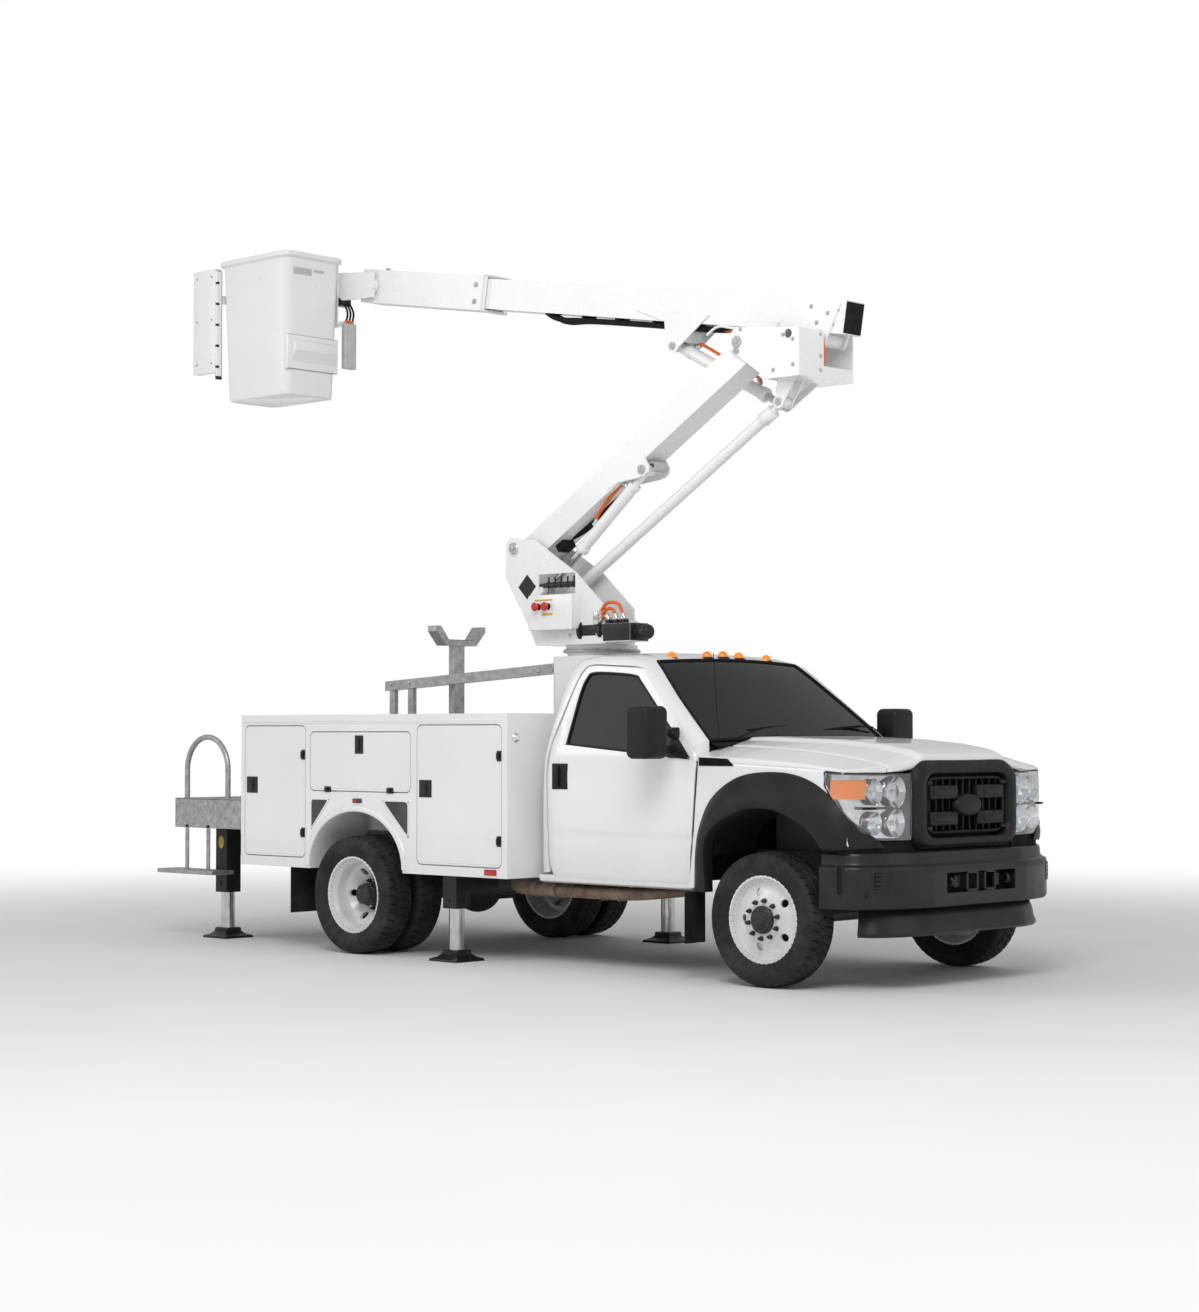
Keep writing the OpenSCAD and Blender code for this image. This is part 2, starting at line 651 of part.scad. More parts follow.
module housing(z0, z1) difference() {
    translate([-housing_w / 2, -housing_w / 2, z0]) cube([housing_w, housing_w, z1 - z0]);
    translate([0, 0, z0 - 1]) cylinder(r = leg_d / 2 + run, h = z1 - z0 - 9);
}

module outrigger_housings() color([0.1, 0.1, 0.1]) placed() both() {
    translate([leg_rear[0], -leg_rear[1], 0]) housing(rear_housing[0], rear_housing[1]);
    translate([leg_middle[0], -leg_middle[1], 0]) housing(middle_housing[0], middle_housing[1]);
    // beams from the housings to the frame rails
    block(leg_rear[0] - 60, leg_rear[0] + 60, -leg_rear[1] + housing_w / 2 - 1, -rail_y, 600, 760);
    block(leg_middle[0] - 60, leg_middle[0] + 60, -side_in + 1, -rail_y, 600, 760);
    block(leg_middle[0] - 60, leg_middle[0] + 60, -leg_middle[1] + housing_w / 2 - 1, -side_in + 2,
        440, body_bottom - 1);
    block(leg_middle[0] - 60, leg_middle[0] + 60, -side_in + 1, -side_in + 31, 440, 620);
}

module leg(p, top) translate([p[0], -p[1], 0]) {
    translate([-pad_w / 2, -pad_w / 2, 0]) cube([pad_w, pad_w, pad_t]);
    translate([0, 0, pad_t - 1]) cylinder(r = 75, h = 41);
    translate([0, 0, pad_t + 10]) cylinder(r = leg_d / 2, h = top - pad_t - 10);
}

module right_rear_leg() color("silver") placed() leg(leg_rear, 600);
module right_middle_leg() color("silver") placed() leg(leg_middle, 900);
module left_rear_leg() mirrored() right_rear_leg();
module left_middle_leg() mirrored() right_middle_leg();

// ---------------------------------------------------------------- pedestal and boom

ped_half = 250;
module pedestal() color("white") placed() translate([-slew_back, 0, 0]) {
    difference() {
        translate([-ped_half, -ped_half, rail_top]) cube([2 * ped_half, 2 * ped_half, 1240]);
        for (x = [-ped_half, ped_half], y = [-ped_half, ped_half]) translate([x, y, 700])
            difference() {
                translate([-60, -60, 0]) cube([120, 120, 1400]);
                translate([x > 0 ? -60 : 60, y > 0 ? -60 : 60, -1]) cylinder(r = 60, h = 1402);
            }
    }
    translate([0, 0, rail_top + 1239]) cylinder(r = 235, h = slew_top - 34 - rail_top - 1239 - 0.3);
    block(-330, 255, -rail_y, rail_y, rail_top, rail_top + 60);
}

// the cradle takes the stowed upper boom
stow_wrist = along(heel, lower_stow, lower_len);
stow_pivot = stow_wrist + upper_pivot - wrist;
rest_x = -3860;
cradle_z = stow_pivot[1] + (stow_pivot[0] - rest_x) * tan(upper_stow) + upper_mid - upper_h / 2 - 8;
module boom_rest() color("silver") placed() {
    block(rest_x - 30, rest_x + 30, upper_y - 50, upper_y + 50, floor_z, cradle_z - 40);
    block(rest_x - 90, rest_x + 90, upper_y - 100, upper_y + 100, floor_z, floor_z + 12);
    bulkhead([for (p = [[-150, -41], [150, -41], [240, 60], [240, 100], [200, 100], [120, 0],
        [-120, 0], [-200, 100], [-240, 100], [-240, 60]]) [upper_y + p[0], cradle_z + p[1]]],
        rest_x - 50, rest_x + 50);
    // channel from the pedestal to two short posts
    slab([[-slew_back - ped_half, 1920], [-slew_back - ped_half, 1990], [-4440, 1880], [-4440, 1810]],
        -60, 10);
    for (x = [-4380, -4180]) translate([x, -25, floor_z]) cylinder(r = 32, h = 1000);
}

turret_plate = [heel + [-80, 40], heel + [-86, -196], [-2689, 2221], [-2623, slew_top - 1],
    [-1965, slew_top - 1], [-1965, 2333], [-2250, 2583], [-2641, 2820], heel + [-40, 76]];

heel_pin_r = 32;
wrist_pin_r = 30;
head_pin_r = 20;
link_pin_r = 16;
module turret() color("white") placed() {
    translate([-slew_back, 0, slew_top - 34]) cylinder(r = 245, h = 34);
    difference() {
        union() {
            slab(turret_plate, -300, -286);
            slab(turret_plate, -30, -16);
            cross_pin(heel, 52, -306, -286);
            cross_pin(heel, 52, -30, -10);
        }
        cross_pin(heel, heel_pin_r + run, -320, 0);
        slab([[-2600, 2440], [-2250, 2440], [-2250, 2580], [-2600, 2580]], -320, -280);
    }
    block(-2623, -1965, -300, -16, slew_top - 1, slew_top + 19);
    slab([heel + [-86, -196], [-2689, 2221], [-2675, 2221], heel + [-72, -196]], -287, -29);
    block(-1985, -1965, -287, -29, slew_top + 18, 2175);
    // pin bosses for the lift cylinder and the levelling link
    cross_pin(lift_eye, 34, -287, lift_y - 36);
    cross_pin(link_foot, 30, link_y + 40, -29);
    cross_pin(link_foot, link_pin_r, link_y - 36, -29);
    // control box on the kerb side
    block(-2600, -2200, -385, -299, 2200, 2424);
    // slewing motor along the turret
    translate([-2262, -250, 2185]) rotate([0, 90, 0]) cylinder(r = 56, h = 520);
    block(-1966, -1720, -330, -150, slew_top + 8, 2225);
}

lower_beam = [-46, lower_len + 68, -154, -154 + lower_h];
lift_pin_local = [1230, -205];
module lower_boom() color("white") placed() aimed(heel, lower_angle, lower_y) difference() {
    union() {
        block(lower_beam[0], lower_beam[1], -lower_w / 2, lower_w / 2, lower_beam[2], lower_beam[3]);
        for (y = [-lower_w / 2 - 6, lower_w / 2 - 8]) {
            slab([[900, -140], [1000, -150], [1180, -236], [1262, -250], [1290, -220], [1290, -120]],
                y, y + 14);
            cross_pin(lift_pin_local, 45, y, y + 14);
        }
        cross_pin([0, 0], 50, -lower_w / 2 - 8, lower_w / 2 + 8);
        cross_pin([0, 0], heel_pin_r, -154, 138);
        cross_pin([lower_len, 0], 50, -lower_w / 2 - 4, lower_w / 2 + 4);
        cross_pin([lower_len, 0], wrist_pin_r, -125, 124);
        cross_pin(lift_pin_local, head_pin_r, -lower_w / 2, lower_w / 2);
    }
    block(120, lower_beam[1] + 1, -lower_w / 2 + boom_t, lower_w / 2 - boom_t,
        lower_beam[2] + boom_t, lower_beam[3] - boom_t);
}

lift_len = dist(lift_head, lift_eye);
lift_angle = angle_of(lift_head, lift_eye);
lift_barrel_end = 790;
lift_rod_start = 460;
module lift_barrel() color("white") placed() aimed(lift_head, lift_angle, lift_y) difference() {
    union() {
        cross_pin([0, 0], 38, -38, 38);
        rotate([0, 90, 0]) cylinder(r = 26, h = 150);
        translate([140, 0, 0]) rotate([0, 90, 0]) cylinder(r = 40, h = lift_barrel_end - 140);
    }
    translate([170, 0, 0]) rotate([0, 90, 0]) cylinder(r = 25 + run, h = lift_barrel_end);
    cross_pin([0, 0], head_pin_r + run, -60, 60);
}

module lift_rod() color("silver") placed() aimed(lift_head, lift_angle, lift_y) {
    translate([lift_rod_start, 0, 0]) rotate([0, 90, 0])
        cylinder(r = 25, h = lift_len - lift_rod_start - 20);
    cross_pin([lift_len, 0], 36, -30, 30);
}

module levelling_link() color("white") placed() difference() {
    link_tube();
    cross_pin(link_foot, link_pin_r + run, link_y - 50, link_y + 50);
}
module link_tube() {
    bar(along(link_foot, lower_angle, 30), along(link_top, lower_angle + 180, 110), link_y, 38);
    bar(link_foot, link_top, link_y, 22);
    cross_pin(link_foot, 36, link_y - 34, link_y + 34);
    cross_pin(link_top, 36, link_y - 34, link_y + 34);
}

elbow_outline = [wrist + [-28, 80], wrist + [0, 92], [wrist[0] + 508, wrist[1] + 40],
    [wrist[0] + 508, wrist[1] - 250], wrist + [236, -250], wrist + [-28, -66], wrist + [-60, -40],
    wrist + [-60, 50]];
elbow_front = wrist[0] + 508;
elbow_floor = wrist[1] - 250;

module elbow() color("white") placed() {
    difference() {
        union() {
            slab(elbow_outline, -elbow_half, -elbow_half + plate_t);
            slab(elbow_outline, -38, -26);
            slab(elbow_outline, elbow_half - plate_t, elbow_half);
            slab([wrist + [160, 60], wrist + [508, 28], wrist + [508, 40], wrist + [160, 72]],
                -elbow_half, -26);
            cross_pin(upper_pivot, 60, -27, upper_y - upper_w / 2 - boom_t - clear);
            cross_pin(upper_pivot, 60, upper_y + upper_w / 2 + boom_t + clear, elbow_half - 1);
        }
        cross_pin(upper_pivot, wrist_pin_r + run, -300, 300);
        cross_pin(wrist, wrist_pin_r + run, -300, 0);
    }
    // front and top plates of the lower boom's side, and the floor
    block(elbow_front - plate_t, elbow_front, -elbow_half, -26, elbow_floor, wrist[1] + 40);
    block(wrist[0] + 236, elbow_front, -elbow_half, elbow_half, elbow_floor - plate_t, elbow_floor);
    block(elbow_front - plate_t, elbow_front, -27, elbow_half, elbow_floor - 1, elbow_floor + 70);
    // lugs for the levelling link and the fold cylinder
    for (y = [link_y - 52, link_y + 40]) {
        slab([wrist + [236, -249], wrist + [380, -249], link_top + [40, -10], link_top + [-36, -10]],
            y, y + 12);
        cross_pin(link_top, 42, y, y + 12);
    }
    for (y = [upper_y - 52, upper_y + 40]) {
        slab([wrist + [236, -249], wrist + [330, -249], fold_eye + [30, -30], fold_eye + [-34, 10]],
            y, y + 12);
        cross_pin(fold_eye, 42, y, y + 12);
    }
    slab([wrist + [236, -262], wrist + [330, -262], wrist + [330, -240], wrist + [236, -240]],
        link_y, upper_y);
}

// the upper boom is drawn along +X and aimed backwards, so that its top is at -Z before the turn
module upper_aimed() placed() aimed(upper_pivot, back_angle, upper_y) children();
upper_z = [-upper_mid - upper_h / 2, -upper_mid + upper_h / 2];
module upper_boom() color("white") upper_aimed() difference() {
    union() {
        block(-190, upper_len - 100, -upper_w / 2, upper_w / 2, upper_z[0], upper_z[1]);
        for (y = [-upper_w / 2 - boom_t, upper_w / 2]) {
            slab([[-150, -230], [-60, 50], [40, 60], [140, upper_z[1]], [140, -230]], y, y + boom_t);
            slab([[940, upper_z[1] - 60], [1170, 118], [1200, 160], [1260, 160], [1290, 118],
                [1330, upper_z[1] - 1], [1600, upper_z[1] - 60]], y, y + boom_t);
        }
        cross_pin([0, 0], 50, -upper_w / 2 - boom_t, upper_w / 2 + boom_t);
        cross_pin([0, 0], wrist_pin_r, -158, elbow_half - upper_y);
        cross_pin([1230, 118], head_pin_r, -upper_w / 2 - 1, upper_w / 2 + 1);
    }
    block(-160, upper_len, -upper_w / 2 + boom_t, upper_w / 2 - boom_t,
        upper_z[0] + boom_t, upper_z[1] - boom_t);
    block(1120, 1350, -upper_w / 2 + boom_t, upper_w / 2 - boom_t, upper_z[1] - boom_t - 1,
        upper_z[1] + 1);
}

fold_len = dist(fold_head, fold_eye);
fold_angle = angle_of(fold_head, fold_eye);
fold_barrel_end = 840;
fold_rod_start = 158;
module fold_barrel() color("white") placed() aimed(fold_head, fold_angle, upper_y) difference() {
    union() {
        cross_pin([0, 0], 36, -78, 78);
        rotate([0, 90, 0]) cylinder(r = 42, h = fold_barrel_end);
    }
    translate([60, 0, 0]) rotate([0, 90, 0]) cylinder(r = 25 + run, h = fold_barrel_end);
    cross_pin([0, 0], head_pin_r + run, -90, 90);
}

module fold_rod() color("silver") placed() aimed(fold_head, fold_angle, upper_y) {
    translate([fold_rod_start, 0, 0]) rotate([0, 90, 0])
        cylinder(r = 25, h = fold_len - fold_rod_start - 20);
    cross_pin([fold_len, 0], 36, -30, 30);
}

telescope_gap = 6;
inner_w = upper_w - 2 * boom_t - 2 * telescope_gap;
inner_h = upper_h - 2 * boom_t - 2 * telescope_gap;
sleeve_w = upper_w + 2 * clear + 2 * boom_t;
sleeve_h = upper_h + 2 * clear + 2 * boom_t;
tip_pin_r = 25;
module inner_boom() color("white") upper_aimed() difference() {
    inner_tubes();
    cross_pin([tip_u, -upper_mid], tip_pin_r + run, -200, 200);
}
module inner_tubes() {
    translate([0, 0, -upper_mid]) {
        difference() {
            block(1700, sleeve_u0 + sleeve_len - 20, -inner_w / 2, inner_w / 2, -inner_h / 2, inner_h / 2);
            block(1690, sleeve_u0 + sleeve_len, -inner_w / 2 + boom_t, inner_w / 2 - boom_t,
                -inner_h / 2 + boom_t, inner_h / 2 - boom_t);
        }
        difference() {
            block(sleeve_u0, sleeve_u0 + sleeve_len, -sleeve_w / 2, sleeve_w / 2, -sleeve_h / 2, sleeve_h / 2);
            block(sleeve_u0 - 1, sleeve_u0 + sleeve_len + 1, -sleeve_w / 2 + boom_t,
                sleeve_w / 2 - boom_t, -sleeve_h / 2 + boom_t, sleeve_h / 2 - boom_t);
        }
        // wear pads that run in the outer boom
        difference() {
            block(1700, 1790, -inner_w / 2 - telescope_gap + 0.3, inner_w / 2 + telescope_gap - 0.3,
                -inner_h / 2 - telescope_gap + 0.3, inner_h / 2 + telescope_gap - 0.3);
            block(1690, 1800, -inner_w / 2 + 1, inner_w / 2 - 1, -inner_h / 2 + 1, inner_h / 2 - 1);
        }
        // spacer that ties the sleeve to the inner boom ahead of the outer boom's end
        difference() {
            block(upper_len - 60, upper_len - 20, -sleeve_w / 2 + 1, sleeve_w / 2 - 1,
                -sleeve_h / 2 + 1, sleeve_h / 2 - 1);
            block(upper_len - 70, upper_len - 10, -inner_w / 2 + 1, inner_w / 2 - 1,
                -inner_h / 2 + 1, inner_h / 2 - 1);
        }
    }
}

// ---------------------------------------------------------------- bucket

mount_y0 = bucket_y1;
module bucket_mount() color("white") placed() {
    // pivot arm on the kerb side of the sleeve, then behind the bucket
    arm_y1 = upper_y - sleeve_w / 2 - clear;
    cross_pin(tip, 60, mount_y0 + 12, arm_y1);
    cross_pin(tip, tip_pin_r, mount_y0 + 12, upper_y + sleeve_w / 2 + 10);
    slab([tip + [40, -95], tip + [40, 95], tip + [-300, 130], tip + [-700, 130], tip + [-700, 30],
        tip + [-420, 30], tip + [-300, -80]], mount_y0 + 11, mount_y0 + 43);
    // back plate against the bucket and the grey valve panel
    block(bucket_front - 700, bucket_front - 100, mount_y0, mount_y0 + 12, bucket_top - 480,
        bucket_top - 10);
    block(bucket_front - 60, bucket_front - 20, mount_y0 + 12, mount_y0 + 120, bucket_top - 820,
        bucket_top - 480);
    block(bucket_front - 200, bucket_front - 59, mount_y0 + 12, mount_y0 + 36, bucket_top - 500,
        bucket_top - 460);
    // cover plate and its spine behind the bucket
    block(bucket_rear - cover_l, bucket_rear - 18, bucket_y1 - bucket_w, bucket_y1 - bucket_w + 60,
        bucket_top - 830, bucket_top - 40);
    block(bucket_rear - 19, bucket_rear - 3, bucket_y1 - bucket_w + 8, bucket_y1 - bucket_w + 52,
        bucket_top - 860, bucket_top - 60);
    block(bucket_rear - 60, bucket_rear - 19, bucket_y1 - bucket_w + 40, mount_y0 + 12,
        bucket_top - 300, bucket_top - 240);
    block(bucket_rear - 60, bucket_front - 100, mount_y0 + 11, mount_y0 + 30,
        bucket_top - 300, bucket_top - 240);
}

// walls taper towards the floor; the bucket is built about its own middle
taper = 30;
module tapered(l, w, h, t) hull() {
    translate([0, 0, h - 1]) linear_extrude(1) offset(r = 60) square([l - 120, w - 120], center = true);
    linear_extrude(1) offset(r = 60) square([l - 120 - 2 * t, w - 120 - 2 * t], center = true);
}
module bucket() color("white") placed()
    translate([(bucket_front + bucket_rear) / 2, bucket_y1 - bucket_w / 2, bucket_top - bucket_h])
    difference() {
        union() {
            tapered(bucket_l - 50, bucket_w - 50, bucket_h - 1, taper);
            translate([0, 0, bucket_h - 40]) linear_extrude(40) offset(r = 80)
                square([bucket_l - 160, bucket_w - 160], center = true);
        }
        translate([0, 0, bucket_t]) tapered(bucket_l - 50 - 2 * bucket_t, bucket_w - 50 - 2 * bucket_t,
            bucket_h, taper);
    }

chassis_frame();
powertrain();
front_axle();
left_knuckle();
right_knuckle();
left_front_rim();
right_front_rim();
left_front_tyre();
right_front_tyre();
rear_axle();
left_rear_rims();
right_rear_rims();
left_rear_tyres();
right_rear_tyres();
cab_shell();
cab_glass();
dashboard();
seats();
left_door();
right_door();
left_door_glass();
right_door_glass();
left_mirror();
right_mirror();
hood();
fenders();
wheel_flares();
grille();
headlamps();
front_bumper();
service_body();
left_rear_lid();
left_middle_lid();
left_front_lid();
right_rear_lid();
right_middle_lid();
right_front_lid();
tail_shelf();
mud_flaps();
outrigger_housings();
left_rear_leg();
right_rear_leg();
left_middle_leg();
right_middle_leg();
pedestal();
boom_rest();
turret();
lower_boom();
lift_barrel();
lift_rod();
levelling_link();
elbow();
upper_boom();
fold_barrel();
fold_rod();
inner_boom();
bucket_mount();
bucket();
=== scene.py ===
import math
import bmesh
import bpy
import numpy as np
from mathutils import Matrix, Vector


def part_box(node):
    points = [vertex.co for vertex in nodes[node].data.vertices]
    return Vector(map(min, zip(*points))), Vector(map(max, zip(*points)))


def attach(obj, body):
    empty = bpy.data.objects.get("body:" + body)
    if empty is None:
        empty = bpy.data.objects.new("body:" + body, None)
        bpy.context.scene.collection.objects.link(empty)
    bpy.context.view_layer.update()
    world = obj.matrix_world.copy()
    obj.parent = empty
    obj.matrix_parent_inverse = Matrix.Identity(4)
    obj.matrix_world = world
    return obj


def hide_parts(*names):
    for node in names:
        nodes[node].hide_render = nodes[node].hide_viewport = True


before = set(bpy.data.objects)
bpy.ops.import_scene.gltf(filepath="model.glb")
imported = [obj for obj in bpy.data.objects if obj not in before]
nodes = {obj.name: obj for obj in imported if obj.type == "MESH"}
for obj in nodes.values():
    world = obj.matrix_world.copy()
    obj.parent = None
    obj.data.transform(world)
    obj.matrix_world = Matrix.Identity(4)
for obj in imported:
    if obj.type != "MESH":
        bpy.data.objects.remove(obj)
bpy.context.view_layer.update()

# ------------------------------------------------------------------ camera, floor and light
# The truck stands on a pale floor in a soft, even studio. The camera looks at the
# front corner on the kerb side from just below eye height, a little upwards.

rim_lo, rim_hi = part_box("right_front_rim")
axle = (rim_lo[0] + rim_hi[0]) / 2


def at(x, y, z):
    """A point given from the middle of the front axle on the ground, in metres."""
    return np.array([axle + x, y, z])


heading, pitch = math.radians(43.58), math.radians(1.76)
cam = bpy.data.objects.new("camera", bpy.data.cameras.new("camera"))
bpy.context.scene.collection.objects.link(cam)
cam.location = at(9.6198, -12.5368, 1.4931)
look = Vector((-math.sin(heading) * math.cos(pitch), math.cos(heading) * math.cos(pitch),
               math.sin(pitch)))
cam.rotation_mode = "QUATERNION"
cam.rotation_quaternion = look.to_track_quat("-Z", "Y")
cam.data.sensor_width = 36
cam.data.lens = 36 * 2536.3 / 1312
cam.data.clip_end = 200
bpy.context.scene.camera = cam


def new_material(name, **sockets):
    """A Principled material; constants go straight on the shader's own sockets."""
    mat = bpy.data.materials.new(name)
    mat.use_nodes = True
    tree = mat.node_tree
    shader = tree.nodes["Principled BSDF"]
    for key, value in sockets.items():
        shader.inputs[key.replace("_", " ")].default_value = value
    coords = tree.nodes.new("ShaderNodeTexCoord").outputs["Object"]
    return mat, tree, shader, coords


def noise(tree, coords, scale, detail=3.0, stretch=None):
    """The grey value of a noise of that scale on Object coordinates."""
    if stretch:
        mapping = tree.nodes.new("ShaderNodeMapping")
        mapping.inputs["Scale"].default_value = stretch
        tree.links.new(coords, mapping.inputs["Vector"])
        coords = mapping.outputs["Vector"]
    tex = tree.nodes.new("ShaderNodeTexNoise")
    tex.inputs["Scale"].default_value = scale
    tex.inputs["Detail"].default_value = detail
    tree.links.new(coords, tex.inputs["Vector"])
    return tex.outputs["Fac"]


def ramp(tree, value, low, high, start=0.3, end=0.7):
    """Colour low below start, high above end, and a smooth change between."""
    node = tree.nodes.new("ShaderNodeValToRGB")
    node.color_ramp.elements[0].position = start
    node.color_ramp.elements[1].position = end
    node.color_ramp.elements[0].color = (*low, 1) if hasattr(low, "__len__") else (low, low, low, 1)
    node.color_ramp.elements[1].color = (*high, 1) if hasattr(high, "__len__") else (high, high,
            high, 1)
    tree.links.new(value, node.inputs["Fac"])
    return node.outputs["Color"]


floor_mat, tree, shader, coords = new_material("studio_floor", Specular_IOR_Level=0.25)
tree.links.new(ramp(tree, noise(tree, coords, 0.6, 3), 0.80, 0.84), shader.inputs["Base Color"])
tree.links.new(ramp(tree, noise(tree, coords, 3, 3), 0.6, 0.75), shader.inputs["Roughness"])
# the floor runs out into the white backdrop with distance from the truck
glow, run_out = tree.nodes.new("ShaderNodeEmission"), tree.nodes.new("ShaderNodeMixShader")
how_far, fade = tree.nodes.new("ShaderNodeVectorMath"), tree.nodes.new("ShaderNodeMapRange")
how_far.operation, fade.interpolation_type = "LENGTH", "SMOOTHSTEP"
fade.inputs["From Min"].default_value, fade.inputs["From Max"].default_value = 3.5, 13
tree.links.new(coords, how_far.inputs[0])
tree.links.new(how_far.outputs["Value"], fade.inputs["Value"])
tree.links.new(fade.outputs["Result"], run_out.inputs[0])
tree.links.new(shader.outputs[0], run_out.inputs[1])
tree.links.new(glow.outputs[0], run_out.inputs[2])
tree.links.new(run_out.outputs[0], tree.nodes["Material Output"].inputs[0])


def add_mesh(name, points, faces, material):
    """A mesh object at the origin from an array of points and a list of faces."""
    mesh = bpy.data.meshes.new(name)
    mesh.from_pydata(np.asarray(points, float).tolist(), [], faces)
    mesh.materials.append(material)
    mesh.update()
    obj = bpy.data.objects.new(name, mesh)
    bpy.context.scene.collection.objects.link(obj)
    return obj


floor = add_mesh("floor", np.array([[-40, -40, 0], [40, -40, 0], [40, 40, 0], [-40, 40, 0]], float),
                 [[0, 1, 2, 3]], floor_mat)

world = bpy.data.worlds.new("studio")
bpy.context.scene.world = world
world.use_nodes = True
sky = world.node_tree
lit, seen = sky.nodes["Background"], sky.nodes.new("ShaderNodeBackground")
lit.inputs["Color"].default_value, lit.inputs["Strength"].default_value = (1, 1, 1, 1), 0.50
seen.inputs["Color"].default_value, seen.inputs["Strength"].default_value = (1, 1, 1, 1), 1.0
either, view_ray = sky.nodes.new("ShaderNodeMixShader"), sky.nodes.new("ShaderNodeLightPath")
sky.links.new(view_ray.outputs["Is Camera Ray"], either.inputs[0])
sky.links.new(lit.outputs[0], either.inputs[1])
sky.links.new(seen.outputs[0], either.inputs[2])
sky.links.new(either.outputs[0], sky.nodes["World Output"].inputs[0])
bpy.context.scene.view_settings.view_transform = "Standard"


def soft_box(name, place, target, size, power):
    """A large area light at place that faces target."""
    data = bpy.data.lights.new(name, "AREA")
    data.shape, data.size, data.size_y, data.energy = "RECTANGLE", size, size, power
    lamp = bpy.data.objects.new(name, data)
    lamp.location = place
    lamp.rotation_mode = "QUATERNION"
    lamp.rotation_quaternion = (Vector(target) - Vector(place)).to_track_quat("-Z", "Y")
    bpy.context.scene.collection.objects.link(lamp)


soft_box("key_light", (7, -8, 9), (0, 0, 1.5), 5, 620)
soft_box("side_light", (-7, -9, 7), (-1, 0, 1.5), 6, 200)
soft_box("front_light", (12, 2, 5), (1, 0, 1.5), 5, 60)

# ------------------------------------------------------------------ chassis and running gear
# Pressed steel rails, axle beams and springs under satin black chassis paint. Everything
# here carries a film of road dust that thickens towards the ground.


def blend_colour(tree, factor, a, b):
    """Colour a where factor is 0 and b where it is 1."""
    node = tree.nodes.new("ShaderNodeMix")
    node.data_type = "RGBA"
    tree.links.new(factor, node.inputs["Factor"])
    for socket, value in ((node.inputs["A"], a), (node.inputs["B"], b)):
        if hasattr(value, "is_output"):
            tree.links.new(value, socket)
        else:
            socket.default_value = (*value, 1)
    return node.outputs["Result"]


def height_band(tree, coords, low, high):
    """1 at and below the height low, 0 above high, in metres."""
    split = tree.nodes.new("ShaderNodeSeparateXYZ")
    tree.links.new(coords, split.inputs[0])
    node = tree.nodes.new("ShaderNodeMapRange")
    node.inputs["From Min"].default_value = low
    node.inputs["From Max"].default_value = high
    node.inputs["To Min"].default_value = 1
    node.inputs["To Max"].default_value = 0
    tree.links.new(split.outputs["Z"], node.inputs["Value"])
    return node.outputs["Result"]


def product(tree, a, b):
    """The product of two grey values."""
    node = tree.nodes.new("ShaderNodeMath")
    node.operation = "MULTIPLY"
    for k, value in enumerate((a, b)):
        if hasattr(value, "is_output"):
            tree.links.new(value, node.inputs[k])
        else:
            node.inputs[k].default_value = value
    return node.outputs[0]


def bump(tree, shader, height, strength, distance):
    """Sends a grey value to the shader's normal as a bump."""
    node = tree.nodes.new("ShaderNodeBump")
    node.inputs["Strength"].default_value = strength
    node.inputs["Distance"].default_value = distance
    tree.links.new(height, node.inputs["Height"])
    tree.links.new(node.outputs["Normal"], shader.inputs["Normal"])


def coated(name, colour, roughness=0.3, coat=0.5, grime=0.35, grime_top=1.0, peel=0.012):
    """Sprayed paint: slight mottling, orange peel, and road film towards the ground."""
    mat, tree, shader, coords = new_material(name, Coat_Weight=coat, Coat_Roughness=0.08,
                                             Specular_IOR_Level=0.5)
    low = [c * 0.95 for c in colour]
    base = ramp(tree, noise(tree, coords, 1.7, 4), low, colour)
    film = product(tree, height_band(tree, coords, 0.25, grime_top),
                   ramp(tree, noise(tree, coords, 9, 6), 0.1, grime))
    tree.links.new(blend_colour(tree, film, base, [c * 0.45 + 0.04 for c in colour]),
                   shader.inputs["Base Color"])
    tree.links.new(ramp(tree, noise(tree, coords, 14, 5), roughness * 0.85, roughness * 1.2),
                   shader.inputs["Roughness"])
    bump(tree, shader, noise(tree, coords, 420, 2), 0.25, peel * 0.05)
    return mat


def dress(material, *names, edge=0.003, angle=30):
    """Gives CAD nodes their material, joins their faces and rounds their edges a little."""
    for name in names:
        obj = nodes[name]
        obj.data.materials.clear()
        obj.data.materials.append(material)
        obj.data.shade_smooth()
        weld = obj.modifiers.new("join_faces", "WELD")
        weld.merge_threshold = 0.00005
        flat = obj.modifiers.new("join_flat_faces", "DECIMATE")
        flat.decimate_type, flat.angle_limit = "DISSOLVE", math.radians(0.3)
        mod = obj.modifiers.new("round_edges", "BEVEL")
        mod.width, mod.segments, mod.limit_method = edge, 2, "ANGLE"
        mod.angle_limit = math.radians(angle)
        mod.use_clamp_overlap = True
        even = obj.modifiers.new("even_normals", "WEIGHTED_NORMAL")
        even.weight, even.keep_sharp = 80, True


chassis_black = coated("chassis_black", (0.035, 0.035, 0.038), 0.5, 0.1, 0.9, 0.9)
dress(chassis_black, "chassis_frame", "front_axle", "rear_axle", "outrigger_housings",
      "left_knuckle", "right_knuckle", edge=0.002)
engine_grey = coated("engine_grey", (0.16, 0.165, 0.17), 0.55, 0.0, 0.8, 1.1)
dress(engine_grey, "powertrain")


# ------------------------------------------------------------------ wheels
# Steel drop-centre rims in white enamel with hand holes, ten nuts and a black hub, and
# all-terrain truck tyres with blocks on the shoulders and two zigzag grooves.


